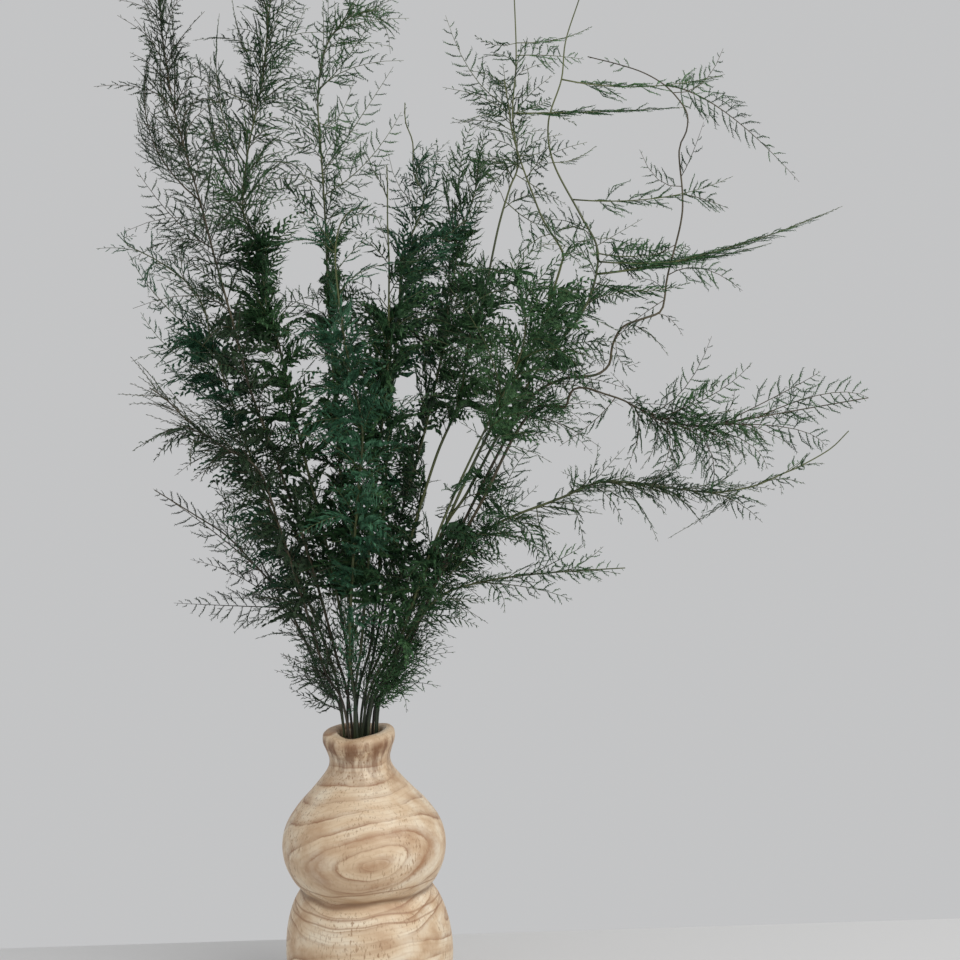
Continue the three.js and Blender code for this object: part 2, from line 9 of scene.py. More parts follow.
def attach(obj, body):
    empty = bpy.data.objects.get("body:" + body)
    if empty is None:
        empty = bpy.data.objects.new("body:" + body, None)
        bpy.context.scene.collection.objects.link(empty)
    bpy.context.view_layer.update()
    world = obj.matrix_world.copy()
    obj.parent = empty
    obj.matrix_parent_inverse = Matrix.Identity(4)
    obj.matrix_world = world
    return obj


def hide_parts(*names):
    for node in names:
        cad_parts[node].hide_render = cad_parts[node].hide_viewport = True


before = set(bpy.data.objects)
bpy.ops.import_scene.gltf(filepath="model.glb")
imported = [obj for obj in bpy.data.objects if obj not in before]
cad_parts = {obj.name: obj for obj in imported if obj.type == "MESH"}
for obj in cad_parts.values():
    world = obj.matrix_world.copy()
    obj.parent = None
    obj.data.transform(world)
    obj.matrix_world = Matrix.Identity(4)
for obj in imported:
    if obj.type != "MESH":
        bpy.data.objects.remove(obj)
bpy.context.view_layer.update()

MM = 0.001
UP = np.array([0.0, 0.0, 1.0])
TINY = 1e-9
STEEP = 0.9
SIDEWAYS = [0.31, 0.95, 0.07]  # a way that no stem or frond starts in
ROUTE_START = 2  # a stem's line has its foot and its place in the mouth before its route
SHORT_OF_END = 1.001  # the last place to grow from is this much below a line's count of points

# The vase
RIM_HEIGHT = 235
BORE_RADIUS = 17.5
BORE_FLOOR = 30
AXIS_LEAN = 1.2  # the hand-turned bellies sit this far either side of the axis
LOWER_BELLY = [[47, 0], [52, 3], [60, 15], [66, 33], [68, 52], [65.8, 74], [60.5, 92], [52.5, 106]]
UPPER_BELLY = [
    [52.5, 106], [59.5, 115], [65.2, 128], [66.8, 143], [63.2, 158], [53.5, 173],
    [42.5, 185], [33, 196], [26.4, 205], [24.6, 212], [26.2, 219], [28.6, 226], [28, 232], [25, RIM_HEIGHT],
]
LIP_AND_BORE = [[25, RIM_HEIGHT], [20.5, RIM_HEIGHT], [18.2, 233], [BORE_RADIUS, 229]]
BORE_END = [[BORE_RADIUS, BORE_FLOOR + 3], [14.5, BORE_FLOOR]]
MOUTH_RADIUS = 20.6  # the outline lies inside the mouth within this
LATHE_STEPS = 5
LIP_STEPS = 4
LATHE_SEGMENTS = 96

# How the vase departs from round: waves as [count, start, size], which grow towards the lip, and those of
# the bellies as [count, height for one radian of twist, size]
LIP_WAVES = [[2, 0.9, 0.9], [3, -0.6, 0.7], [5, 0, 0.4]]
LIP_DIPS = [[1, 0.4, 1.3], [2, 2.2, 1.0], [4, 0, 0.5]]
BELLY_WAVES = [[2, 40, 0.35], [5, 23, 0.2]]
LIP_START = 200
LIP_HEIGHT = 30
FOOT_HEIGHT = 20  # the bellies' waves grow over this height from the flat foot
INNER_WAVE = 0.25

# The stems
FOOT_GAP = 0.3
FOOT_SPREAD = 0.8
STEM_RADIUS = 1.7
STEM_TIP_RADIUS = 0.5
STEM_FINENESS = 0.85  # a dressed stem's share of the radius of its solid
FOOT_FINENESS = 0.7  # its further share at the foot, which rises with each point of the line, up to 1
FINENESS_RISE = 0.1
STEM_SIDES = 8
STEM_STEP = 5

# The fronds
RACHIS_RADIUS = 0.9
RACHIS_STEPS = 3
CLEARANCE = 0.9
SWINGS = [0, 12, -12, 24, -24, 36, -36]
SHIFTS = [0, 6, -6, 12, -12, 20, -20]
LOWEST_TIP = RIM_HEIGHT + 14
START_LEAN = 30
REACH_LEAN = [48, 74]
TURN_STEP = 137.5
TURN_STRAY = 30
END_LENGTH = 0.62  # at both ends of the rule's range, rising to 1 in the middle
LEAST_LENGTH = 0.8
LENGTH_STRAY = 0.4
SAG = 0.16
FIRST_CONTROL = 0.42
MULTIPLIER = 16807
MODULUS = 2147483647
FIRST_SEED = 101
SEED_STEP = 37
FOLIAGE_SEED = 500

# The eye that the routes are read from, and that the camera stands at
EYE = np.array([103.5, -1590.0, 617.0])

# Each stem: its name, its place in the mouth as [radius, angle], the depth of its tip, the rule for its
# fronds as [from, to, count, reach] and their first turn, its route as [x, z], its placed fronds as [point of
# the route, tip x, tip z, tip depth, roll, bend x, bend z, habit], open if no habit is given, and the sprays
# that fill it as [habit, from, to, count, length]. From and to are points of the route. A frond of roll 0
# lies flat and one of roll 90 faces the front.
Stem = namedtuple("Stem", "name mouth depth rule turn route placed sprays")
Spray = namedtuple("Spray", "place points roll habit")
Pinnae = namedtuple("Pinnae", "base middle tip normal size")
Habit = namedtuple("Habit", "lean gap angle share axis needle_gap needle needle_width tilt")
STEMS = [
    Stem(
        "stem_right_tall", [6.8, 50], 40, [1, 7, 5, 85], 20,
        [[35, 308], [71, 393], [93, 426], [126, 483], [156, 528], [183, 559], [197, 584], [202, 616],
         [189, 644], [169, 685], [166, 717], [177, 749], [181, 778], [192, 809], [200, 832]],
        [[6.4, 396, 644, 90, 14, 295, 603, "slim"], [6.7, 340, 617, 70, 10, 267, 598, "slim"],
         [6.9, 275, 617, 110, 60, 235, 605, "close"], [6.2, 275, 588, 20, 20, 235, 575, "close"],
         [7.1, 238, 639, 40, 85, 209, 623], [8.3, 310, 670, 20, 20, 258, 647],
         [9, 203, 697, 60, 30, 186, 683, "slim"], [9, 143, 692, 60, 60, 155, 683],
         [10.3, 188, 714, 30, 40, 177, 719, "close"], [11, 305, 749, 70, 16, 238, 734],
         [5.6, 254, 584, -10, 50, 203, 583], [7.6, 187, 651, 60, 80, 196, 630],
         [7.6, 150, 640, 60, 70, 177, 644]],
        [["close", 0.5, 5.5, 18, 60], ["open", 5.5, 7.5, 7, 50], ["inner", 0.3, 4.5, 21, 40]],
    ),
    Stem(
        "stem_right_curl", [13.8, 45], 75, [1, 6, 5, 70], 110,
        [[30, 275], [56, 340], [86, 396], [120, 459], [145, 499], [164, 512], [180, 516], [198, 517],
         [209, 525], [212, 540], [220, 554], [235, 560], [250, 565], [254, 575], [257, 594], [268, 634],
         [270, 657], [268, 691], [274, 706], [275, 719], [269, 730], [258, 742], [242, 752], [223, 759],
         [198, 766]],
        [[21, 362, 664, 110, 80, 299, 737], [20.5, 304, 769, 95, 75, 290, 733],
         [16.4, 288, 713, 45, 85, 276, 680], [16, 306, 645, 120, 50, 284, 655],
         [16.2, 237, 693, 30, 80, 248, 661], [14, 316, 580, 100, 75, 283, 610],
         [13, 212, 546, 40, 60, 234, 563], [14.6, 218, 609, 60, 50, 243, 605, "close"],
         [9.4, 234, 526, 40, 70, 213, 516]],
        [["open", 0.5, 5.5, 20, 55], ["open", 7, 14, 5, 40], ["inner", 0.3, 4, 14, 36]],
    ),
    Stem(
        "stem_right_wiggle", [6.8, -10], -60, [1, 5, 4, 75], 70,
        [[36, 291], [69, 360], [103, 416], [130, 467], [149, 492], [162, 493], [173, 492], [176, 499],
         [180, 506], [190, 507], [204, 502], [220, 496], [237, 486], [252, 478], [280, 474], [312, 477],
         [352, 483], [415, 492]],
        [[12.2, 291, 545, -40, 75, 273, 495], [12.6, 323, 523, -70, 75, 297, 494],
         [13.2, 279, 398, -80, 60, 312, 461], [13, 254, 435, -20, 60, 272, 463, "close"],
         [12.6, 232, 440, -60, 60, 252, 463], [12, 210, 519, -30, 60, 230, 496],
         [12.8, 297, 510, -90, 70, 281, 494, "close"], [13.2, 334, 437, -60, 70, 328, 469],
         [14.2, 381, 454, -50, 75, 368, 476], [14.6, 377, 514, -70, 80, 361, 504],
         [15.4, 415, 492, -60, 80, 391, 507], [10.6, 168, 461, -70, 60, 201, 481]],
        [["close", 0.5, 5, 15, 52], ["open", 11, 15, 34, 50]],
    ),
    Stem(
        "stem_right_low", [13.8, 12], 30, [1, 5, 4, 75], 150,
        [[30, 288], [56, 340], [82, 376], [118, 401], [167, 419], [199, 431], [230, 429], [260, 424],
         [291, 420], [322, 424], [345, 433], [360, 439], [384, 452], [399, 466]],
        [[8.6, 253, 384, 20, 60, 307, 413, "slim"], [7.2, 327, 419, 60, 50, 296, 431, "slim"],
         [6.2, 280, 446, 40, 60, 248, 439, "slim"], [4.2, 186, 378, 30, 80, 183, 401],
         [3.6, 166, 369, 60, 75, 150, 382], [3, 152, 466, 50, 15, 120, 443],
         [4.8, 216, 396, -10, 80, 215, 416], [8, 333, 408, 60, 30, 313, 418],
         [2.6, 150, 430, 50, 60, 126, 408]],
        [["close", 0.5, 3.5, 9, 50], ["open", 3.5, 8, 34, 48], ["open", 8, 11, 8, 36],
         ["slim", 1.5, 6.5, 26, 44]],
    ),
    Stem(
        "stem_right_lowest", [13.8, -22], -58, [0.6, 3, 4, 55], 30,
        [[21, 267], [39, 308], [68, 342], [101, 353], [141, 358], [182, 360], [218, 361]],
        [[3, 175, 336, -30, 50, 149, 349], [4, 187, 381, -95, 60, 166, 369],
         [2, 118, 387, -60, 70, 77, 372], [0.2, 38, 248, -30, 60, 40, 267],
         [0.6, 55, 299, -40, 60, 38, 295], [1.4, 92, 329, -40, 70, 68, 319]],
        [["open", 0.5, 5, 16, 42], ["slim", 1, 5, 8, 40]],
    ),
    Stem(
        "stem_centre_tall", [0, 0], 25, [1, 7, 5, 80], 200,
        [[23, 308], [41, 373], [68, 453], [89, 500], [98, 546], [110, 578], [124, 635], [134, 666],
         [141, 685], [138, 724], [142, 764], [142, 811], [141, 841]],
        [[9, 277, 725, 10, 12, 207, 722, "slim"], [9, 168, 735, 60, 40, 160, 728, "close"],
         [9.1, 109, 728, -20, 30, 122, 726, "close"], [9.1, 88, 801, 0, 80, 105, 742],
         [10.3, 202, 789, 50, 15, 177, 776, "slim"], [10.3, 110, 785, 20, 25, 125, 773, "close"],
         [10.1, 195, 764, 80, 70, 169, 769], [9.3, 150, 762, 30, 80, 156, 734, "slim"],
         [8.6, 90, 722, 20, 50, 120, 713, "slim"], [8.2, 172, 707, 50, 80, 162, 687],
         [7.6, 178, 652, 60, 70, 158, 664], [6.6, 167, 644, 60, 75, 161, 625],
         [8, 116, 655, 60, 70, 128, 686]],
        [["close", 0.5, 5, 32, 60], ["close", 5, 6.4, 4, 46], ["open", 6, 10, 15, 48],
         ["inner", 0.3, 6, 42, 42]],
    ),
    Stem(
        "stem_centre_cross", [6.8, -70], -55, [1, 5, 5, 80], 260,
        [[31, 308], [61, 372], [96, 444], [130, 507], [155, 554], [164, 579], [173, 605], [174, 616],
         [160, 640], [151, 664], [143, 688], [137, 711], [135, 731], [132, 750]],
        [[11.6, 84, 746, -70, 40, 119, 740], [11, 89, 718, -30, 20, 120, 724],
         [9.4, 196, 700, -80, 70, 159, 694], [11.2, 170, 752, -90, 80, 145, 737],
         [7.6, 130, 590, -70, 75, 144, 628]],
        [["close", 0.5, 4.4, 24, 60], ["open", 6, 9, 10, 45], ["open", 9, 13, 12, 40],
         ["inner", 0.3, 5, 32, 42]],
    ),
    Stem(
        "stem_centre_curve", [13.8, 108], 70, [1, 6, 5, 80], 320,
        [[12, 309], [23, 390], [31, 470], [36, 518], [43, 565], [47, 612], [54, 629], [63, 648], [66, 664],
         [59, 680], [59, 704], [54, 720], [54, 735]],
        [[4.4, 121, 653, 60, 60, 58, 623, "close"], [5, 115, 664, 90, 70, 77, 613, "close"],
         [8.1, 78, 707, 90, 80, 80, 676], [9, 88, 705, 60, 75, 72, 690], [7.4, 39, 699, 60, 80, 44, 660],
         [6.6, 40, 668, 90, 75, 58, 658]],
        [["close", 0.5, 5, 37, 62], ["close", 5, 9, 18, 46], ["open", 9, 11, 6, 40],
         ["inner", 0.3, 5, 46, 44]],
    ),
    Stem(
        "stem_centre_straight", [6.8, -130], -15, [1, 4.4, 7, 85], 45,
        [[4, 309], [14, 390], [25, 470], [32, 518], [35, 567], [37, 609], [37, 641], [38, 672], [38, 687]],
        [[5, 3, 640, -40, 20, 27, 627, "close"], [6.6, 16, 700, 10, 60, 32, 680],
         [5.4, 26, 652, -30, 70, 34, 636]],
        [["close", 0.5, 4.8, 34, 60], ["inner", 0.3, 5, 60, 46]],
    ),
    Stem(
        "stem_left_tall", [6.8, 110], 30, [0.8, 11, 10, 85], 100,
        [[-9, 309], [-22, 391], [-39, 472], [-52, 545], [-62, 585], [-63, 624], [-75, 648], [-76, 668],
         [-69, 708], [-57, 756], [-50, 802], [-45, 843]],
        [[8.6, -152, 791, 10, 60, -113, 759], [7.6, -88, 808, 0, 60, -102, 734, "slim"],
         [7, -96, 776, 40, 60, -108, 703, "slim"], [9, -78, 822, 40, 70, -74, 772, "slim"],
         [8.5, -34, 772, 20, 60, -57, 762, "close"], [8.8, -60, 796, 60, 70, -56, 771, "close"],
         [8.2, -140, 726, 60, 60, -88, 718], [6.6, -106, 703, -10, 70, -98, 672, "close"],
         [9.4, -20, 810, 10, 75, -38, 778], [6.4, -130, 690, 50, 60, -92, 679]],
        [["close", 0.5, 5, 43, 62], ["open", 5, 11, 58, 58], ["open", 7.5, 11, 20, 50],
         ["inner", 0.3, 5, 60, 46], ["slim", 7, 11, 10, 50]],
    ),
    Stem(
        "stem_left_outer", [6.8, 170], -40, [0.8, 9, 11, 75], 15,
        [[-18, 301], [-35, 375], [-56, 449], [-77, 514], [-89, 570], [-100, 617], [-110, 664], [-120, 704],
         [-128, 743], [-133, 789], [-135, 827]],
        [[6, -136, 797, -45, 60, -173, 717, "slim"], [7, -133, 787, -60, 70, -144, 743, "slim"],
         [7.8, -125, 825, -30, 60, -124, 773, "slim"], [6.6, -114, 764, -20, 60, -123, 719, "slim"],
         [5.2, -160, 692, -60, 70, -134, 646], [5.8, -96, 719, -70, 70, -101, 680, "slim"],
         [-0.25, -59, 299, -30, 60, -45, 266], [-0.5, -46, 257, -50, 60, -29, 257]],
        [["close", 0.5, 4.5, 31, 55], ["open", 4.5, 10, 45, 55], ["inner", 0.5, 4, 24, 40],
         ["slim", 6, 10, 14, 50]],
    ),
    Stem(
        "stem_left_mid", [13.8, -162], 45, [0.8, 6, 9, 70], 80,
        [[-22, 293], [-44, 359], [-65, 417], [-83, 474], [-97, 522], [-106, 553], [-110, 577], [-121, 598],
         [-144, 617], [-169, 631]],
        [[4, -161, 578, 20, 70, -141, 538], [4.8, -169, 626, 70, 70, -153, 587],
         [3.4, -153, 548, 50, 70, -114, 503, "slim"], [6.2, -135, 634, 50, 70, -134, 612],
         [7.2, -120, 650, 20, 70, -131, 622]],
        [["close", 0.5, 5.5, 33, 55], ["open", 5.5, 9, 10, 42], ["inner", 0.3, 5, 38, 42]],
    ),
    Stem(
        "stem_left_dark", [13.8, -130], -60, [0.8, 4, 6, 60], 200,
        [[-27, 285], [-42, 343], [-58, 401], [-73, 449], [-101, 469], [-125, 488], [-144, 508],
         [-157, 518]],
        [[4.6, -161, 497, -60, 60, -130, 485, "slim"], [3.6, -144, 514, -80, 60, -106, 484, "slim"],
         [3, -115, 463, -40, 60, -100, 444, "slim"], [2.8, -110, 418, -40, 60, -89, 441]],
        [["close", 0.5, 5, 21, 48], ["inner", 0.3, 3.4, 14, 38], ["slim", 2.0, 6.4, 30, 40]],
    ),
    Stem(
        "stem_left_pale", [13.8, 170], 55, [1, 2.4, 3, 55], 0,
        [[-27, 269], [-42, 310], [-60, 348], [-83, 377], [-102, 398], [-126, 415], [-157, 436]],
        [[2.7, -158, 437, 60, 80, -118, 409], [1.7, -146, 344, 60, 80, -99, 340],
         [2, -109, 443, 40, 60, -94, 410], [1.2, -131, 379, 80, 70, -74, 365],
         [0.3, -62, 300, 10, 60, -42, 292]],
        [["open", 0.5, 3, 8, 40]],
    ),
    Stem(
        "stem_top_middle", [13.8, 141], 60, [1, 8.6, 8, 80], 250,
        [[-4, 309], [-6, 391], [-9, 471], [-11, 543], [-12, 599], [-12, 646], [-13, 693], [-14, 739],
         [-7, 777], [10, 800], [36, 808]],
        [[6.2, -43, 734, 40, 60, -32, 709, "close"], [5.6, -58, 666, 60, 60, -47, 695],
         [6.6, 17, 760, 70, 85, 1, 708], [7.2, 37, 810, 60, 80, 8, 762], [5.4, 51, 728, 80, 80, 26, 684],
         [5, -44, 684, 90, 60, -39, 662, "close"], [5.8, 46, 763, 90, 70, 2, 700],
         [5, 34, 645, 20, 25, 5, 657], [8.4, 30, 830, 90, 80, 14, 807]],
        [["close", 0.5, 4.5, 38, 62], ["open", 4.5, 9.6, 40, 54], ["inner", 0.3, 4.5, 60, 46]],
    ),
    Stem(
        "stem_front_middle", [13.8, -97], -95, [0.6, 7, 9, 85], 290,
        [[-6, 293], [-2, 358], [5, 423], [11, 479], [3, 527], [-3, 575], [-5, 622], [4, 649], [24, 656]],
        [[5.6, 34, 640, -60, 15, 7, 623], [6, -40, 660, -90, 60, -13, 642, "close"]],
        [["close", 0.5, 5, 26, 60], ["inner", 0.3, 4.5, 28, 42]],
    ),
    Stem(
        "stem_back_middle", [13.8, 78], 110, [1, 8, 8, 75], 130,
        [[14, 300], [29, 365], [43, 422], [61, 477], [75, 533], [84, 580], [94, 627], [107, 666],
         [112, 696]],
        [[5.2, 121, 659, 90, 60, 75, 628, "close"], [6.3, 107, 720, 110, 70, 86, 674, "close"],
         [7, 121, 727, 90, 70, 109, 689, "close"], [6, 90, 697, 120, 70, 77, 659, "close"],
         [3.4, 112, 660, 60, 80, 85, 567, "close"], [3, 60, 590, 50, 70, 65, 524, "close"]],
        [["close", 0.5, 5, 26, 60], ["close", 5, 7.6, 16, 44], ["inner", 0.3, 6, 49, 44]],
    ),
    Stem(
        "stem_front_right", [13.8, -60], -90, [0.6, 8, 9, 80], 340,
        [[26, 284], [44, 332], [66, 388], [88, 436], [113, 484], [134, 523], [143, 554], [140, 586],
         [133, 608]],
        [[4.4, 84, 590, -110, 70, 120, 542]],
        [["close", 0.5, 7.6, 37, 60], ["inner", 0.3, 5, 24, 40]],
    ),
]

# What each stem also has just above the mouth: a frond by rule, and close sprays that stand up
LOW_FRONDS = [-0.72, 0.5, 1, 62]
LOW_REACH_LEAN = [30, 52]
LOW_SPRAYS = ["close", -0.85, 0.5, 11, 46]
LOW_LEAN = [8, 30]

# The bare end of a route, which carries pinnae itself along its last points
TIP_SPRAY = 1.6
TIP_ROLL = 75
BARE_TIPS = ["stem_right_low", "stem_right_tall", "stem_centre_tall", "stem_left_pale"]

# The habits of the sprays: open ones at the outside, close ones in the bush, short full ones in its heart,
# and slim ones whose pinnae are held along the rachis. For each: the lean of its filling sprays, the gap
# from pinna to pinna, their angle and their share of the spray's length, the width of their axis, and the
# gap, length and width of their paired needles, and how far these tilt from it
HABITS = {
    "open": Habit([34, 82], 4.3, 60, 0.32, 0.95, 0.95, 4.1, 0.74, [30, 62]),
    "close": Habit([34, 82], 2.6, 56, 0.3, 1.5, 2.1, 8.0, 0.95, [16, 42]),
    "slim": Habit([12, 36], 2.6, 30, 0.2, 0.8, 1.1, 4.4, 0.62, [26, 54]),
    "inner": Habit([34, 82], 3.0, 56, 0.3, 4.8, 3.0, 10.0, 2.0, [16, 42]),
}

# A spray's rachis, and its pinnae, which shorten towards both ends
RACHIS_SIDES = 3
RACHIS_STEP = 12
RACHIS_WIDTH = [0.2, 0.0045]  # its first radius, and what each millimetre of length adds
RACHIS_END = 0.16
FEWEST_STEPS = 4
PINNA_RANGE = [0.1, 0.985]
FEWEST_PINNAE = 6
LONGEST_PINNA = 34
SHORTEST_PINNA = 2.5
PINNA_SWELL = [0.5, 2.6]
PINNA_TAPER = 0.7
PINNA_STRAY = [0.78, 1.12]
PINNA_LIFT = 12
RAISED_SHARE = 0.1
RAISED_LIFT = 58
ANGLE_STRAY = 6
PINNA_CURL = 15
PINNA_SAG = 0.05
MISSING_SHARE = 0.04

# The side branches of long pinnae
BRANCHED_LENGTH = 19  # a pinna longer than this branches again
BRANCH_GAP = 3.4
BRANCH_RANGE = [0.12, 0.7]
BRANCH_SHARE = 0.38
BRANCH_TAPER = 0.7
BRANCH_STRAY = [0.7, 1.15]
BRANCH_ANGLE = [44, 8]  # its middle, and how far it strays
BRANCH_LIFT = 18
BRANCH_BEND = [0.52, 0.2]  # where along the branch, and how far out of the plane

# The needles and the axes that carry them
AXIS_FULL_SIZE = 12  # a shorter pinna has a thinner axis, down to half
NEEDLE_FULL_SIZE = 9  # a shorter pinna has shorter needles
NEEDLE_RANGE = [0.03, 0.99]
NEEDLE_STRAY = [0.6, 1.2]
NEEDLE_TURN = 45
PLACE_STRAY = [0.2, 0.8]
TAIL_SHARE = 0.8  # the back half of a pair of needles is this much of its front half
ROD_FACES = [
    [0, 2, 1], [0, 1, 4], [0, 4, 3], [1, 2, 5], [1, 5, 4], [2, 0, 3], [2, 3, 5], [3, 4, 6], [4, 5, 6],
    [5, 3, 6],
]
TWIN_FACES = [[0, 2, 3], [1, 3, 2], [0, 1, 2], [1, 0, 3]]
THIRDS = [(1.0, 0.0), (-0.5, 0.87), (-0.5, -0.87)]

# How the sprays fill the bush. A spray is judged by three places on it, as seen from the front, where its
# depth counts at a lower weight.
FILL_TRIALS = 5
FILL_LENGTH = [0.7, 1.2]
FILL_REACH = 36  # a filling spray ends no further than this from some stem
JUDGED_PLACES = (0.45, 0.75, 1.0)
STEM_PLACES = 5  # places for each stretch of a stem's route, to measure that reach from
DEPTH_WEIGHT = 0.3
HIGHEST_TIP = 858
NO_ROOM = -1000

# Openings in the bush that are left clear, as [x, z, radius] seen from the front
GAPS = [
    [-28, 617, 12], [-31, 587, 9], [23, 615, 16], [35, 588, 11], [26, 676, 11], [43, 699, 11],
    [70, 737, 24], [128, 645, 14], [115, 618, 9], [158, 664, 19], [150, 621, 11], [194, 678, 20],
    [205, 643, 11], [76, 457, 18], [97, 468, 11], [83, 424, 18], [67, 405, 10], [130, 450, 11],
    [155, 426, 11], [49, 511, 6], [8, 754, 13], [-77, 702, 6], [188, 457, 11],
]
GAP_MARGIN = 7


# The skeleton: the same steps and draws as the solids were grown by
def unit(vector):
    return vector / np.linalg.norm(vector)


def toward(angle):
    """The cosine and the sine of an angle."""
    return math.cos(math.radians(angle)), math.sin(math.radians(angle))


def draws_from(seed):
    while True:
        seed = (seed * MULTIPLIER) % MODULUS
        yield seed / MODULUS


def seen_at(x, z, depth):
    share = (depth - EYE[1]) / -EYE[1]
    return np.array([EYE[0] + (x - EYE[0]) * share, depth, EYE[2] + (z - EYE[2]) * share])


def stem_line(stem):
    ring, angle = stem.mouth
    x, y = (ring * part for part in toward(angle))
    foot = [x * FOOT_SPREAD, y * FOOT_SPREAD, BORE_FLOOR + FOOT_GAP]
    last = len(stem.route)
    above = [
        seen_at(rx, rz, y + (stem.depth - y) * ((i + 1) / last)) for i, (rx, rz) in enumerate(stem.route)
    ]
    return np.array([foot, [x, y, RIM_HEIGHT], *above])


def on_stem(line, place):
    at = min(place + ROUTE_START, len(line) - SHORT_OF_END)
    i = math.floor(at)
    point = line[i] + (line[i + 1] - line[i]) * (at - i)
    return point, unit(line[i + 1] - line[i])


def bezier(a, b, c, t):
    return a * (1 - t) ** 2 + b * 2 * t * (1 - t) + c * t * t


def bezier_way(a, b, c, t):
    return (b - a) * 2 * (1 - t) + (c - b) * 2 * t


def rule_frond(line, place, azimuth, lean, length, roll):
    point, along = on_stem(line, place)
    out = np.array([*toward(azimuth), 0.0])
    out = unit(out - along * out.dot(along))
    start, reach = (along * ahead + out * aside for ahead, aside in (toward(START_LEAN), toward(lean)))
    tip = point + reach * length - UP * SAG * length
    points = [point, point + start * FIRST_CONTROL * length, tip]
    return Spray(place, points, roll, "open")


def placed_frond(line, spec, shift):
    place, x, z, depth, roll, bend_x, bend_z, *habit = spec
    point = on_stem(line, place)[0]
    tip = seen_at(x, z, depth + shift)
    control = seen_at(bend_x, bend_z, (point[1] + tip[1]) / 2)
    return Spray(place, [point, control, tip], roll, habit[0] if habit else "open")


def apart(p, q, starts, ends):
    """How near the stretch from p to q comes to each of the others."""
    u = q - p
    v = ends - starts
    w = p - starts
    a = u.dot(u)
    b = v @ u
    c = (v * v).sum(axis=1)
    d = w @ u
    e = (w * v).sum(axis=1)
    skew = a * c - b * b
    safe = np.where(skew > TINY, skew, 1.0)
    along = np.where(skew > TINY, np.clip((b * e - c * d) / safe, 0, 1), 0.0)
    across = np.clip((b * along + e) / c, 0, 1)
    along = np.clip((b * across - d) / a, 0, 1)
    return np.linalg.norm(w + u * along[:, None] - v * across[:, None], axis=1)


class Taken:
    """Every stretch so far, with its thickest radius and its stem."""

    def __init__(self):
        self.stretches = []

    def add(self, points, radius, stem):
        self.stretches += [(start, end, radius, stem) for start, end in zip(points[:-1], points[1:])]

    def is_clear(self, points, radius, stem):
        others = [stretch[:3] for stretch in self.stretches if stretch[3] != stem]
        starts, ends, radii = (np.array(values) for values in zip(*others))
        room = radii + radius + CLEARANCE
        return all((apart(p, q, starts, ends) > room).all() for p, q in zip(points[:-1], points[1:]))


def first_clear(trials, stem, taken):
    for trial in trials:
        rachis = [bezier(*trial.points, i / RACHIS_STEPS) for i in range(RACHIS_STEPS + 1)]
        if min(p[2] for p in rachis) > LOWEST_TIP and taken.is_clear(rachis, RACHIS_RADIUS, stem):
            taken.add(rachis, RACHIS_RADIUS, stem)
            return trial
    return None


def fronds_of(stem, line, seed, taken):
    draws = draws_from(seed)
    found = [
        first_clear([placed_frond(line, spec, shift) for shift in SHIFTS], stem.name, taken)
        for spec in stem.placed
    ]

    def grow(rule, lean, turn):
        first, last, count, reach = rule
        for i in range(count):
            share = (i + 0.5) / count
            azimuth = turn + TURN_STEP * i + TURN_STRAY * (next(draws) - 0.5)
            leaning = lean[0] + (lean[1] - lean[0]) * next(draws)
            length = reach * (END_LENGTH + (1 - END_LENGTH) * math.sin(math.pi * share))
            length *= LEAST_LENGTH + LENGTH_STRAY * next(draws)
            roll = 180 * next(draws)
            place = first + (last - first) * share
            trials = [rule_frond(line, place, azimuth + s, leaning, length, roll) for s in SWINGS]
            found.append(first_clear(trials, stem.name, taken))

    grow(stem.rule, REACH_LEAN, stem.turn)
    grow(LOW_FRONDS, LOW_REACH_LEAN, stem.mouth[1])
    return [frond for frond in found if frond]


# Helpers on rows of vectors
def rows_unit(rows):
    return rows / np.maximum(np.linalg.norm(rows, axis=1, keepdims=True), TINY)


def rows_across(along):
    """Two directions across each row, square to it and to each other."""
    helper = np.tile(UP, (len(along), 1))
    helper[np.abs(along[:, 2]) > STEEP] = [1.0, 0.0, 0.0]
    first = rows_unit(np.cross(helper, along))
    return first, np.cross(along, first)


def rows_toward(angles):
    """The cosines and the sines of angles, each as a column."""
    turns = np.radians(angles)[:, None]
    return np.cos(turns), np.sin(turns)


def either_side(order):
    """1 and -1 in turn, as a column."""
    return np.where(order % 2 == 0, 1.0, -1.0)[:, None]


def new_object(name, data):
    obj = bpy.data.objects.new(name, data)
    bpy.context.scene.collection.objects.link(obj)
    return obj


class Shape:
    """Triangles gathered from many small closed pieces."""

    def __init__(self):
        self.corners, self.faces, self.count = [], [], 0

    def add(self, corners, faces):
        self.corners.append(np.asarray(corners, dtype=float))
        self.faces.append(np.asarray(faces, dtype=np.int64) + self.count)
        self.count += len(corners)

    def add_copies(self, corners, pattern):
        """Rows of small pieces with the same faces: corners is (pieces, corners each, 3)."""
        pieces, each = corners.shape[:2]
        starts = (np.arange(pieces) * each)[:, None, None]
        faces = (np.array(pattern)[None] + starts).reshape(-1, 3)
        self.add(corners.reshape(-1, 3), faces)

    def piece(self, name, material, smooth):
        corners = (np.concatenate(self.corners) * MM).astype(np.float32)
        faces = np.concatenate(self.faces).astype(np.int32)
        mesh = bpy.data.meshes.new(name)
        mesh.vertices.add(len(corners))
        mesh.vertices.foreach_set("co", corners.ravel())
        mesh.loops.add(faces.size)
        mesh.loops.foreach_set("vertex_index", faces.ravel())
        mesh.polygons.add(len(faces))
        mesh.polygons.foreach_set("loop_start", np.arange(0, faces.size, 3, dtype=np.int32))
        mesh.polygons.foreach_set("use_smooth", np.full(len(faces), smooth))
        mesh.materials.append(material)
        mesh.update(calc_edges=True)
        return new_object(name, mesh)


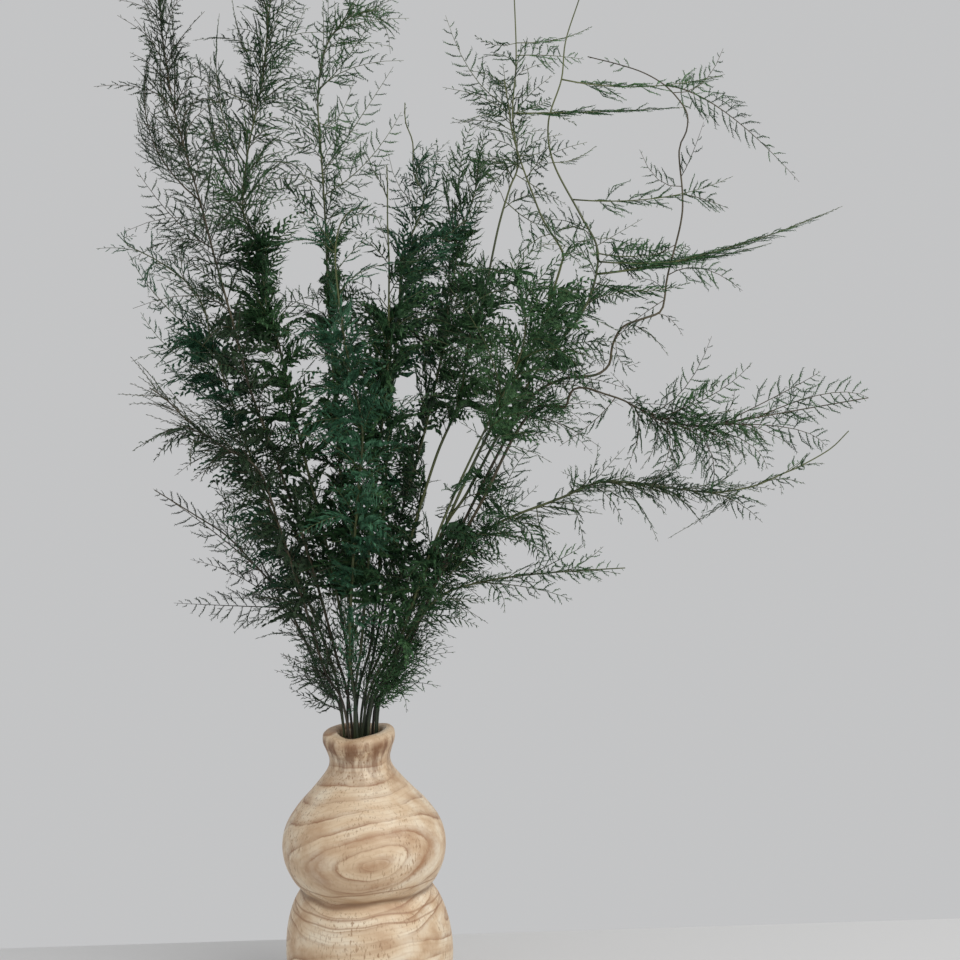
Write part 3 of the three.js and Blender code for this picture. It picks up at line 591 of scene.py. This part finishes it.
def wall_faces(rings, sides):
    """The wall between rings of corners, each with the same number of sides."""
    k = np.arange(sides)
    after = (k + 1) % sides
    faces = []
    for i in range(rings - 1):
        low, high = i * sides, (i + 1) * sides
        faces.append(np.stack([low + k, low + after, high + after], axis=1))
        faces.append(np.stack([low + k, high + after, high + k], axis=1))
    return faces


def add_tube(shape, points, radii, sides):
    """A round tube along a line, closed at both ends."""
    points = np.asarray(points)
    count = len(points)
    along = np.empty_like(points)
    along[1:-1] = points[2:] - points[:-2]
    along[0] = points[1] - points[0]
    along[-1] = points[-1] - points[-2]
    along = rows_unit(along)
    across = unit(np.cross(along[0], SIDEWAYS))
    corners = []
    turns = 2 * math.pi * np.arange(sides) / sides
    for i in range(count):
        across = unit(across - along[i] * across.dot(along[i]))
        other = np.cross(along[i], across)
        ring = np.outer(np.cos(turns), across) + np.outer(np.sin(turns), other)
        corners.append(points[i] + radii[i] * ring)
    faces = wall_faces(count, sides)
    fan = np.arange(1, sides - 1)
    end = (count - 1) * sides
    faces.append(np.stack([np.zeros_like(fan), fan + 1, fan], axis=1))
    faces.append(np.stack([np.full_like(fan, end), end + fan, end + fan + 1], axis=1))
    shape.add(np.concatenate(corners), np.concatenate(faces))


def add_twins(shape, middle, reach, long, width):
    """Two needles in one sliver: it lies across its axis at a slant, and tapers both ways."""
    first, second = rows_across(reach)
    half = (long / 2)[:, None]
    corners = [
        middle + reach * half - second * width / 4,
        middle - reach * half * TAIL_SHARE - second * width / 4,
        middle + first * width / 2 + second * width / 4,
        middle - first * width / 2 + second * width / 4,
    ]
    shape.add_copies(np.stack(corners, axis=1), TWIN_FACES)


def add_rods(shape, base, middle, tip, width):
    """Slim axes, narrower at the base, bent once and drawn out to a point."""
    first, second = rows_across(rows_unit(tip - base))
    wide = width[:, None] / 2
    low = [base + 0.5 * wide * (first * x + second * y) for x, y in THIRDS]
    high = [middle + wide * (first * x + second * y) for x, y in THIRDS]
    shape.add_copies(np.stack([*low, *high, tip], axis=1), ROD_FACES)


# A frond: its rachis, and its pinnae in turn on either side
def frond_frame(points, roll, share):
    t = share[:, None]
    place = bezier(*points, t)
    along = rows_unit(bezier_way(*points, t))
    flat = rows_unit(UP - along * (along @ UP)[:, None])
    level, raised = toward(roll)
    normal = flat * level + np.cross(along, flat) * raised
    return place, along, normal, np.cross(normal, along)


def curve_at(pinnae, row, share):
    points = [part[row] for part in (pinnae.base, pinnae.middle, pinnae.tip)]
    t = share[:, None]
    return bezier(*points, t), rows_unit(bezier_way(*points, t) + TINY)


def pinnae_of(spray, rng):
    a, b, c = spray.points
    habit = HABITS[spray.habit]
    start, end = PINNA_RANGE
    length = np.linalg.norm(b - a) + np.linalg.norm(c - b)
    count = max(FEWEST_PINNAE, int(length * (1 - start) / habit.gap))
    share = start + (end - start) * (np.arange(count) + 0.5) / count
    place, along, normal, side = frond_frame([a, b, c], spray.roll, share)
    longest = min(LONGEST_PINNA, habit.share * length)
    swell = np.minimum(1, PINNA_SWELL[0] + PINNA_SWELL[1] * share)
    size = longest * (1 - share) ** PINNA_TAPER * swell
    size = np.maximum(SHORTEST_PINNA, size * rng.uniform(*PINNA_STRAY, count))
    lift = rng.normal(0, PINNA_LIFT, count) + np.where(rng.random(count) < RAISED_SHARE, RAISED_LIFT, 0)
    open_angle = rng.normal(habit.angle, ANGLE_STRAY, count)
    close_angle = open_angle - rng.normal(PINNA_CURL, ANGLE_STRAY, count)
    level, raised = rows_toward(lift)
    out = side * either_side(np.arange(count)) * level + normal * raised
    first, last = (
        along * ahead + out * aside for ahead, aside in (rows_toward(open_angle), rows_toward(close_angle))
    )
    last = last - UP * PINNA_SAG
    kept = rng.random(count) > MISSING_SHARE
    long = size[:, None]
    rows = place, place + first * long * 0.5, place + last * long, normal, size
    return Pinnae(*(row[kept] for row in rows))


def joined(parts):
    return Pinnae(*(np.concatenate(rows) for rows in zip(*parts)))


def rows_along(pinnae, gap, first, last, rng):
    """Rows and shares of places spread along each pinna, a gap apart."""
    counts = np.maximum(2, (pinnae.size * (last - first) / gap).astype(int))
    row = np.repeat(np.arange(len(counts)), counts)
    order = np.arange(len(row)) - np.repeat(np.cumsum(counts) - counts, counts)
    share = first + (last - first) * (order + rng.uniform(*PLACE_STRAY, len(row))) / counts[row]
    return row, order, share


def branches_of(pinnae, rng):
    """Short side branches, on the lower part of the long pinnae."""
    row, order, share = rows_along(pinnae, BRANCH_GAP, *BRANCH_RANGE, rng)
    place, along = curve_at(pinnae, row, share)
    normal = pinnae.normal[row]
    side = rows_unit(np.cross(normal, along)) * either_side(order)
    size = BRANCH_SHARE * pinnae.size[row] * (1 - BRANCH_TAPER * share)
    size = size * rng.uniform(*BRANCH_STRAY, len(row))
    ahead, aside = rows_toward(rng.normal(*BRANCH_ANGLE, len(row)))
    level, raised = rows_toward(rng.normal(0, BRANCH_LIFT, len(row)))
    out = side * level + normal * raised
    reach = (along * ahead + out * aside) * size[:, None]
    middle = place + reach * BRANCH_BEND[0] + normal * BRANCH_BEND[1]
    return Pinnae(place, middle, place + reach, normal, size)


def dress(shape, pinnae, habit, rng):
    """The axes of a set of pinnae, and needles that stand forward from them."""
    branched = pinnae.size > BRANCHED_LENGTH
    if branched.any():
        large = Pinnae(*(rows[branched] for rows in pinnae))
        pinnae = joined([pinnae, branches_of(large, rng)])
    wide = habit.axis * np.clip(pinnae.size / AXIS_FULL_SIZE, 0.5, 1)
    add_rods(shape, pinnae.base, pinnae.middle, pinnae.tip, wide)
    row, order, share = rows_along(pinnae, habit.needle_gap, *NEEDLE_RANGE, rng)
    place, along = curve_at(pinnae, row, share)
    side = rows_unit(np.cross(pinnae.normal[row], along))
    level, raised = rows_toward(rng.normal(0, NEEDLE_TURN, len(row)))
    ahead, aside = rows_toward(rng.uniform(*habit.tilt, len(row)))
    around = side * level * either_side(order) + np.cross(along, side) * raised
    reach = rows_unit(along * ahead + around * aside)
    long = habit.needle * rng.uniform(*NEEDLE_STRAY, len(row))
    long = long * np.minimum(1, pinnae.size[row] / NEEDLE_FULL_SIZE)
    add_twins(shape, place, reach, long, habit.needle_width)


# A smooth line through the points of a route or an outline
def curve_point(line, place):
    i = min(int(place), len(line) - 2)
    t = place - i
    before = line[i - 1] if i > 0 else 2 * line[0] - line[1]
    after = line[i + 2] if i + 2 < len(line) else 2 * line[-1] - line[-2]
    a = (line[i + 1] - before) / 2
    b = (after - line[i]) / 2
    low = line[i] * (2 * t ** 3 - 3 * t ** 2 + 1) + a * (t ** 3 - 2 * t ** 2 + t)
    return low + line[i + 1] * (3 * t ** 2 - 2 * t ** 3) + b * (t ** 3 - t ** 2)


def smooth_line(line, step):
    """Places along the route, as points of the line, and the smooth curve through them."""
    places = []
    for i in range(len(line) - 1):
        count = max(1, round(np.linalg.norm(line[i + 1] - line[i]) / step))
        places.extend(i + np.arange(count) / count)
    places = np.array([*places, len(line) - 1.0])
    return places, np.array([curve_point(line, place) for place in places])


def radius_at(line, place):
    fine = STEM_FINENESS * min(1.0, FOOT_FINENESS + FINENESS_RISE * place)
    return fine * (STEM_RADIUS + (STEM_TIP_RADIUS - STEM_RADIUS) * place / (len(line) - 1))


def seen_place(point):
    """Where a point is seen on the plane through the axis of the vase, and its depth at a lower weight."""
    share = (point[1] - EYE[1]) / -EYE[1]
    seen = (point - EYE) / share + EYE
    return np.array([seen[0], seen[2], DEPTH_WEIGHT * point[1]])


class Room:
    """What is grown so far, to find the way that has the most room for the next spray."""

    def __init__(self, lines):
        self.stems = np.array([
            seen_place(curve_point(line, ROUTE_START + i / STEM_PLACES))[:2]
            for line in lines for i in range(STEM_PLACES * (len(line) - 1 - ROUTE_START) + 1)
        ])
        self.grown = [np.zeros(3)]

    def places(self, spray):
        return np.array([seen_place(bezier(*spray.points, t)) for t in JUDGED_PLACES])

    def add(self, spray):
        self.grown.extend(self.places(spray))

    def score(self, spray):
        places = self.places(spray)
        for x, z, radius in GAPS:
            if any(math.hypot(place[0] - x, place[1] - z) < radius + GAP_MARGIN for place in places):
                return NO_ROOM
        tip_height = spray.points[2][2]
        if tip_height > HIGHEST_TIP:
            return NO_ROOM
        away = np.linalg.norm(self.stems - places[2, :2], axis=1).min()
        if away > FILL_REACH or tip_height < LOWEST_TIP:
            return -away
        grown = np.array(self.grown)
        return sum(np.linalg.norm(grown - place, axis=1).min() for place in places)


def fill_of(line, sprays, lean, room, rng):
    """The sprays between the fronds, each with the most room out of a few trials."""
    habit, first, last, count, reach = sprays
    found = []
    for i in range(count):
        trials = []
        for _ in range(FILL_TRIALS):
            place = first + (last - first) * (i + rng.random()) / count
            angle = rng.uniform(*lean)
            length = reach * rng.uniform(*FILL_LENGTH)
            azimuth = rng.uniform(0, 360)
            roll = rng.uniform(0, 180)
            trials.append(rule_frond(line, place, azimuth, angle, length, roll))
        best = max(trials, key=room.score)
        if best.points[2][2] > LOWEST_TIP and room.score(best) > NO_ROOM:
            room.add(best)
            found.append(best._replace(habit=habit))
    return found


def tip_spray(line):
    """The bare end of a stem as a frond of its own, with its pinnae along it."""
    start = len(line) - 1 - TIP_SPRAY
    root, middle, tip = (curve_point(line, start + TIP_SPRAY * share) for share in (0, 0.5, 0.999))
    points = [root, 2 * middle - (root + tip) / 2, tip]
    return Spray(start - ROUTE_START, points, TIP_ROLL, "open")


def rooted(line, spray):
    """A spray with its root in the middle of its smooth stem."""
    root = curve_point(line, min(spray.place + ROUTE_START, len(line) - SHORT_OF_END))
    return spray._replace(points=[root, *spray.points[1:]])


def add_rachis(stalk, points):
    length = np.linalg.norm(points[2] - points[0])
    share = np.linspace(0, 1, max(FEWEST_STEPS, int(length / RACHIS_STEP)) + 1)
    path = np.array([bezier(*points, t) for t in share])
    thick = RACHIS_WIDTH[0] + RACHIS_WIDTH[1] * length
    add_tube(stalk, path, thick * (1 - share) + RACHIS_END * share, RACHIS_SIDES)


def grow_stem(index, stem, line, fronds, room, wood, foliage):
    rng = np.random.default_rng(FOLIAGE_SEED + index)
    name = stem.name
    stalk = Shape()
    green = Shape()
    places, curve = smooth_line(line, STEM_STEP)
    add_tube(stalk, curve, [radius_at(line, place) for place in places], STEM_SIDES)
    sprays = list(fronds)
    for row in stem.sprays:
        sprays += fill_of(line, row, HABITS[row[0]].lean, room, rng)
    sprays += fill_of(line, LOW_SPRAYS, LOW_LEAN, room, rng)
    if name not in BARE_TIPS:
        sprays.append(tip_spray(line))
    sprays = [rooted(line, spray) for spray in sprays]
    for spray in sprays:
        add_rachis(stalk, spray.points)
    for key, habit in HABITS.items():
        parts = [pinnae_of(spray, rng) for spray in sprays if spray.habit == key]
        if parts:
            dress(green, joined(parts), habit, rng)
    pieces = [stalk.piece(name + "_stalk", wood, True), green.piece(name + "_needles", foliage, False)]
    for piece, slot in zip(pieces, ["fern_stem", "fern"]):
        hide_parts(name)
        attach(piece, "root")


# The vase
def lerp_rows(rows, steps):
    """A smooth line through the rows, with some steps between each two."""
    line = np.array(rows, dtype=float)
    places = np.arange((len(line) - 1) * steps + 1) / steps
    return np.array([curve_point(line, place) for place in places])


def waves(turns, rows):
    return sum(size * np.sin(count * turns + start) for count, start, size in rows)


def vase_ring(radius, height, turns):
    """One ring of the vase: out of round a little, and uneven at the lip."""
    inner = radius <= MOUTH_RADIUS and height < RIM_HEIGHT + 1 and height > BORE_FLOOR - 1
    shift = 0 if inner else AXIS_LEAN * math.cos(math.pi * height / RIM_HEIGHT)
    near_lip = np.clip((height - LIP_START) / LIP_HEIGHT, 0, 1)
    wave = near_lip * waves(turns, LIP_WAVES)
    belly = waves(turns, [[count, height / twist, size] for count, twist, size in BELLY_WAVES])
    size = radius + (INNER_WAVE * wave if inner else wave + belly * np.clip(height / FOOT_HEIGHT, 0, 1))
    dip = near_lip ** 3 * waves(turns, LIP_DIPS)
    return np.stack([size * np.cos(turns) + shift, size * np.sin(turns), height + dip], axis=1)


def vase_piece(material):
    lower = lerp_rows(LOWER_BELLY[1:], LATHE_STEPS)
    upper = lerp_rows(UPPER_BELLY, LATHE_STEPS)
    lip = lerp_rows(LIP_AND_BORE, LIP_STEPS)
    outline = [LOWER_BELLY[0], *lower, *upper[1:], *lip[1:], *BORE_END]
    turns = 2 * math.pi * np.arange(LATHE_SEGMENTS) / LATHE_SEGMENTS
    rings = [vase_ring(radius, height, turns) for radius, height in outline]
    corners = np.concatenate([*rings, [[0, 0, 0], [0, 0, BORE_FLOOR]]])
    k = np.arange(LATHE_SEGMENTS)
    after = (k + 1) % LATHE_SEGMENTS
    last = (len(rings) - 1) * LATHE_SEGMENTS
    foot, floor = len(corners) - 2, len(corners) - 1
    faces = wall_faces(len(rings), LATHE_SEGMENTS)
    faces.append(np.stack([np.full_like(k, foot), after, k], axis=1))
    faces.append(np.stack([np.full_like(k, floor), last + k, last + after], axis=1))
    shape = Shape()
    shape.add(corners, np.concatenate(faces))
    piece = shape.piece("turned_vase", material, True)
    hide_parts("vase")
    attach(piece, "root")


# Materials
def rgb(red, green, blue):
    return (red, green, blue, 1.0)


def grey(level):
    return rgb(level, level, level)


WHITE = grey(1.0)
BLACK = grey(0.0)

# Dyed foliage, from its deep to its light green, and stalks, from their low to their high colour
GREENS = {
    "green": [rgb(0.006, 0.024, 0.007), rgb(0.02, 0.066, 0.022), rgb(0.085, 0.18, 0.07)],
    "teal": [rgb(0.006, 0.026, 0.011), rgb(0.016, 0.07, 0.033), rgb(0.07, 0.18, 0.10)],
    "dark": [rgb(0.006, 0.015, 0.006), rgb(0.018, 0.04, 0.016), rgb(0.05, 0.09, 0.045)],
}
STALKS = {
    "olive": [rgb(0.012, 0.022, 0.008), rgb(0.10, 0.115, 0.04)],
    "brown": [rgb(0.018, 0.014, 0.009), rgb(0.075, 0.06, 0.03)],
}
PLAIN_FINISH = ("olive", "green")
FINISHES = {
    "stem_left_outer": ("brown", "dark"),
    "stem_left_dark": ("brown", "dark"),
    "stem_left_pale": ("brown", "dark"),
    "stem_right_wiggle": ("brown", "green"),
    "stem_right_curl": ("brown", "green"),
    "stem_centre_curve": ("olive", "teal"),
    "stem_front_middle": ("olive", "teal"),
    "stem_left_mid": ("olive", "teal"),
}
STALK_HEIGHTS = (0.24, 0.42)  # a stalk is darker below these heights
STALK_SHADES = (-0.6, -0.2)

# The wood. A pith is the middle of an eye in the grain. GRAIN says how often each noise repeats along x, y, z.
WOOD = {
    "pale": rgb(0.80, 0.69, 0.53), "cream": rgb(0.68, 0.52, 0.35), "tan": rgb(0.50, 0.325, 0.19),
    "ring": rgb(0.25, 0.105, 0.04), "eye": rgb(0.33, 0.155, 0.065), "pore": rgb(0.26, 0.135, 0.06),
    "waist": rgb(0.20, 0.105, 0.05), "scorch": rgb(0.16, 0.062, 0.02),
}
UPPER_PITH = {"centre": (0.010, -0.066, 0.143), "stretch": 2.35, "turn": math.radians(7)}
LOWER_PITH = {"centre": (0.052, -0.05, 0.022), "stretch": 2.6, "turn": math.radians(-4)}
PITH_DEPTH = 0.28  # the share that a distance in depth counts for
PITH_BLEND = 0.012
GRAIN_DRIFT = (0.024, 0.024, 0.018)
GRAIN = {
    "fuzz": (70.0, 420.0, 420.0), "wander": (5.0, 9.0, 12.0), "plain": (16.0, 50.0, 50.0),
    "strength": (14.0, 30.0, 34.0), "pores": (650.0, 650.0, 190.0), "licks": (130.0, 130.0, 28.0),
}
RING_FUZZ = 0.0018
RING_SCALE = 40.0
RING_SPREAD = 0.82  # below 1 the rings lie wider apart away from the pith
RING_COUNT = 3.3
RING_WANDER = 2.2
FAINT_COUNT = 9.0
FAINT_WANDER = 0.9
RING_DEPTH = 0.9
EYE_RINGS = [[0.002, 0.0085, 1.0], [0.022, 0.006, 0.7]]  # distance from the pith, width, strength
EYE_FUZZ = 0.004
WAIST_LINES = [
    [0.107, 0.004, 0.75, "waist"], [0.0975, 0.0012, 0.6, "ring"],
    [0.1165, 0.0012, 0.6, "ring"], [0.0915, 0.0012, 0.6, "ring"],
]  # height, width, strength, colour
SCORCH_RISE = (0.188, 0.222)
SCORCH_END = (0.226, 0.233)
SCORCH_DEPTH = 0.85


class Nodes:
    """A material's nodes, made and linked in short lines."""

    def __init__(self, name, roughness):
        self.material = bpy.data.materials.new(name)
        self.material.use_nodes = True
        self.tree = self.material.node_tree
        self.shader = self.tree.nodes["Principled BSDF"]
        self.shader.inputs["Roughness"].default_value = roughness
        self.place = self.add("ShaderNodeTexCoord").outputs["Object"]

    def fill(self, socket, value):
        if isinstance(value, bpy.types.NodeSocket):
            self.tree.links.new(value, socket)
        else:
            socket.default_value = value

    def add(self, kind, inputs=None, **settings):
        node = self.tree.nodes.new(kind)
        for key, value in settings.items():
            setattr(node, key, value)
        for key, value in (inputs or {}).items():
            self.fill(node.inputs[key], value)
        return node

    def math(self, operation, first, second=0.0, third=0.0):
        inputs = {0: first, 1: second, 2: third}
        return self.add("ShaderNodeMath", inputs, operation=operation).outputs[0]

    def times(self, first, second):
        return self.math("MULTIPLY", first, second)

    def vector(self, operation, first, second):
        return self.add("ShaderNodeVectorMath", {0: first, 1: second}, operation=operation).outputs

    def noise(self, scale, detail=2.0, place=None):
        inputs = {"Vector": place or self.place, "Scale": scale, "Detail": detail, "Roughness": 0.55}
        return self.add("ShaderNodeTexNoise", inputs).outputs

    def stretched_noise(self, stretch, detail=2.0):
        place = self.vector("MULTIPLY", self.place, stretch)[0]
        return self.noise(1.0, detail, place)["Fac"]

    def fade(self, value, places, levels, kind="SMOOTHSTEP"):
        """One level at the first place, another at the second, and a fade between them."""
        inputs = {0: value, 1: places[0], 2: places[1], 3: levels[0], 4: levels[1]}
        return self.add("ShaderNodeMapRange", inputs, interpolation_type=kind).outputs[0]

    def streak(self, value, at, width):
        """1 on a line where the value meets a place, fading over the width to both sides."""
        away = self.math("ABSOLUTE", self.math("SUBTRACT", value, at))
        return self.fade(away, (0.0, width), (1.0, 0.0))

    def height(self, place):
        return self.add("ShaderNodeSeparateXYZ", {0: place}).outputs["Z"]

    def mix(self, share, first, second):
        node = self.add("ShaderNodeMix", data_type="RGBA", blend_type="MIX")
        for index, value in zip([0, 6, 7], [share, first, second]):
            self.fill(node.inputs[index], value)
        return node.outputs[2]

    def ramp(self, value, stops):
        node = self.add("ShaderNodeValToRGB", {"Fac": value})
        band = node.color_ramp
        while len(band.elements) < len(stops):
            band.elements.new(1.0)
        for element, (at, color) in zip(band.elements, stops):
            element.position = at
            element.color = color
        return node.outputs["Color"]

    def link(self, value, socket):
        self.tree.links.new(value, self.shader.inputs[socket])

    def bump(self, height, strength, distance):
        node = self.add("ShaderNodeBump", {"Height": height, "Strength": strength, "Distance": distance})
        self.link(node.outputs["Normal"], "Normal")


def fern_material(name, deep, middle, light):
    """Dyed foliage: its green drifts along the stem, and single needles are lighter or darker."""
    m = Nodes(name, 0.62)
    m.shader.inputs["Specular IOR Level"].default_value = 0.3
    drift = m.noise(11.0)["Fac"]
    fine = m.noise(210.0)["Fac"]
    shade = m.math("MULTIPLY_ADD", fine, 1.3, m.math("MULTIPLY_ADD", drift, 1.2, -0.75))
    m.link(m.ramp(shade, [(0.2, deep), (0.5, middle), (0.85, light)]), "Base Color")
    return m.material


def stalk_material(name, low, high):
    """A wiry stem, olive to brown, with darker streaks, and darker near the mouth."""
    m = Nodes(name, 0.5)
    drift = m.noise(16.0)["Fac"]
    streaks = m.stretched_noise((700.0, 700.0, 60.0), 3.0)
    rise = m.fade(m.height(m.place), STALK_HEIGHTS, STALK_SHADES, "LINEAR")
    shade = m.math("MULTIPLY_ADD", streaks, 0.45, m.math("MULTIPLY_ADD", drift, 1.2, rise))
    m.link(m.ramp(shade, [(0.25, low), (0.75, high)]), "Base Color")
    m.bump(streaks, 0.3, 0.0003)
    return m.material


def pith_distance(m, place, centre, stretch, turn):
    """How far each place is from the middle of an eye in the grain. The eye is drawn out sideways by the
    stretch, and turned about the line of sight."""
    inputs = {"Vector": place, "Center": centre, "Angle": turn}
    turned = m.add("ShaderNodeVectorRotate", inputs, rotation_type="Y_AXIS")
    offset = m.vector("SUBTRACT", turned.outputs[0], centre)[0]
    flat = m.vector("MULTIPLY", offset, (1 / stretch, PITH_DEPTH, 1.0))[0]
    return m.vector("LENGTH", flat, (0.0, 0.0, 0.0))["Value"]


def ringed_wood(m, upper, lower, fuzz):
    """Plain wood with brown rings about the two piths, and fainter ones between them."""
    rings = m.math("SMOOTH_MIN", upper, m.math("ADD", lower, PITH_BLEND), PITH_BLEND)
    rings = m.math("MULTIPLY_ADD", fuzz, RING_FUZZ, rings)
    spread = m.math("POWER", m.times(rings, RING_SCALE), RING_SPREAD)
    wander = m.stretched_noise(GRAIN["wander"])
    phase = m.math("FRACT", m.math("MULTIPLY_ADD", wander, RING_WANDER, m.times(spread, RING_COUNT)))
    plain = m.ramp(m.stretched_noise(GRAIN["plain"], 3.0), [
        (0.3, WOOD["tan"]), (0.48, WOOD["cream"]), (0.66, WOOD["pale"]),
    ])
    line = m.ramp(phase, [
        (0.0, WHITE), (0.06, grey(0.6)), (0.2, grey(0.25)), (0.45, BLACK), (0.92, BLACK), (0.97, grey(0.5)),
        (1.0, WHITE),
    ])
    strength = m.ramp(m.stretched_noise(GRAIN["strength"]), [(0.4, grey(0.2)), (0.6, WHITE)])
    colour = m.mix(m.times(m.times(line, strength), RING_DEPTH), plain, WOOD["ring"])
    second = m.math("FRACT", m.times(m.math("MULTIPLY_ADD", wander, FAINT_WANDER, spread), FAINT_COUNT))
    faint = m.ramp(second, [(0.0, grey(0.3)), (0.2, BLACK), (0.8, BLACK), (1.0, grey(0.3))])
    return m.mix(faint, colour, WOOD["tan"])


def eye_share(m, upper, fuzz):
    """The eye in front: a dark middle and one dark ring, both clouded."""
    place = m.math("MULTIPLY_ADD", fuzz, EYE_FUZZ, upper)
    middle, ring = (m.times(m.streak(place, at, width), depth) for at, width, depth in EYE_RINGS)
    cloud = m.ramp(m.noise(60.0, 3.0)["Fac"], [(0.36, grey(0.4)), (0.58, WHITE)])
    return m.times(m.times(m.math("MAXIMUM", middle, ring), cloud), RING_DEPTH)


def pore_share(m, pores):
    patches = m.ramp(m.noise(24.0)["Fac"], [(0.42, grey(0.15)), (0.6, WHITE)])
    return m.times(m.ramp(pores, [(0.56, BLACK), (0.66, grey(0.7))]), patches)


def scorch_share(m, height):
    """Streaks that rise to the lip, and end just below its edge."""
    licks = m.ramp(m.stretched_noise(GRAIN["licks"], 3.0), [(0.4, grey(0.16)), (0.56, WHITE)])
    reach = m.fade(height, SCORCH_RISE, (0.0, 1.0))
    top = m.fade(height, SCORCH_END, (1.0, 0.15))
    return m.times(m.times(m.times(reach, top), licks), SCORCH_DEPTH)


def wood_material():
    """Pale turned wood: nested rings around an eye in front, grain that rises to the right above it, lines
    that hug the waist, fine short pores, and scorched streaks under the lip."""
    m = Nodes("turned_wood", 0.5)
    drift = m.vector("SUBTRACT", m.noise(13.0)["Color"], (0.5, 0.5, 0.5))[0]
    place = m.vector("ADD", m.place, m.vector("MULTIPLY", drift, GRAIN_DRIFT)[0])[0]
    upper, lower = (pith_distance(m, place, **pith) for pith in (UPPER_PITH, LOWER_PITH))
    fuzz = m.stretched_noise(GRAIN["fuzz"], 4.0)
    pores = m.stretched_noise(GRAIN["pores"])
    height = m.height(place)
    colour = ringed_wood(m, upper, lower, fuzz)
    colour = m.mix(eye_share(m, upper, fuzz), colour, WOOD["eye"])
    colour = m.mix(pore_share(m, pores), colour, WOOD["pore"])
    for at, width, depth, shade in WAIST_LINES:
        colour = m.mix(m.times(m.streak(height, at, width), depth), colour, WOOD[shade])
    colour = m.mix(scorch_share(m, height), colour, WOOD["scorch"])
    m.link(colour, "Base Color")
    m.bump(m.math("MULTIPLY_ADD", pores, -0.8, fuzz), 0.25, 0.0006)
    return m.material


# The stage, the light and the camera
FLOOR_CORNERS = [[-4000, -2500, 0], [4000, -2500, 0], [4000, 175, 0], [-4000, 175, 0]]
FLOOR_TINT = grey(0.66)
LIGHT_TARGET = [100, 0, 400]
WORLD_TINT = rgb(0.9, 0.905, 0.915)
WORLD_STRENGTH = 0.61
CAMERA_PITCH = 6.5
CAMERA_ROLL = 1.8
CAMERA_LENS = 75
CAMERA_SENSOR = 36
CAMERA_REACH = 20


def floor_plane():
    mesh = bpy.data.meshes.new("floor")
    mesh.from_pydata([[c * MM for c in corner] for corner in FLOOR_CORNERS], [], [(0, 1, 2, 3)])
    m = Nodes("floor_paint", 0.9)
    m.shader.inputs["Base Color"].default_value = FLOOR_TINT
    mesh.materials.append(m.material)
    obj = new_object("floor", mesh)


def set_up(name, data, place, right, up, back):
    """A light or a camera at its place, which looks away from its back."""
    obj = new_object(name, data)
    obj.matrix_world = Matrix([[right[i], up[i], back[i], place[i]] for i in range(3)] + [[0, 0, 0, 1]])
    return obj


def area_light(name, place, size, power, tint):
    light = bpy.data.lights.new(name, "AREA")
    light.size = size * MM
    light.energy = power
    light.color = tint
    place, target = np.array(place) * MM, np.array(LIGHT_TARGET) * MM
    back = unit(place - target)
    right = unit(np.cross(UP, back))
    set_up(name, light, place, right, np.cross(back, right), back)


def place_camera():
    data = bpy.data.cameras.new("camera")
    data.sensor_width = CAMERA_SENSOR
    data.lens = CAMERA_LENS
    data.clip_end = CAMERA_REACH
    pitch, roll = toward(CAMERA_PITCH), toward(CAMERA_ROLL)
    forward = np.array([0.0, pitch[0], -pitch[1]])
    level = np.array([1.0, 0.0, 0.0])
    upward = np.cross(level, forward)
    right = level * roll[0] - upward * roll[1]
    up = upward * roll[0] + level * roll[1]
    bpy.context.scene.camera = set_up("camera", data, EYE * MM, right, up, -forward)


def light_world():
    world = bpy.data.worlds.new("studio")
    bpy.context.scene.world = world
    world.use_nodes = True
    inputs = world.node_tree.nodes["Background"].inputs
    inputs["Color"].default_value = WORLD_TINT
    inputs["Strength"].default_value = WORLD_STRENGTH


bpy.context.scene.view_settings.view_transform = "Standard"
place_camera()
floor_plane()
area_light("window", [1500, -1500, 1900], 2200, 48, (1.0, 0.99, 0.97))
area_light("fill", [-1600, -1400, 900], 2000, 3, (0.97, 0.98, 1.0))
light_world()

vase_piece(wood_material())

foliage = {name: fern_material("fern_" + name, *shades) for name, shades in GREENS.items()}
stalks = {name: stalk_material("stalk_" + name, *shades) for name, shades in STALKS.items()}
lines = [stem_line(stem) for stem in STEMS]
taken = Taken()
for stem, line in zip(STEMS, lines):
    taken.add(line, STEM_RADIUS, stem.name)
all_fronds = [
    fronds_of(stem, lines[i], FIRST_SEED + SEED_STEP * i, taken) for i, stem in enumerate(STEMS)
]
room = Room(lines)
for fronds in all_fronds:
    for frond in fronds:
        room.add(frond)
for i, stem in enumerate(STEMS):
    wood, leaf = FINISHES.get(stem.name, PLAIN_FINISH)
    grow_stem(i, stem, lines[i], all_fronds[i], room, stalks[wood], foliage[leaf])
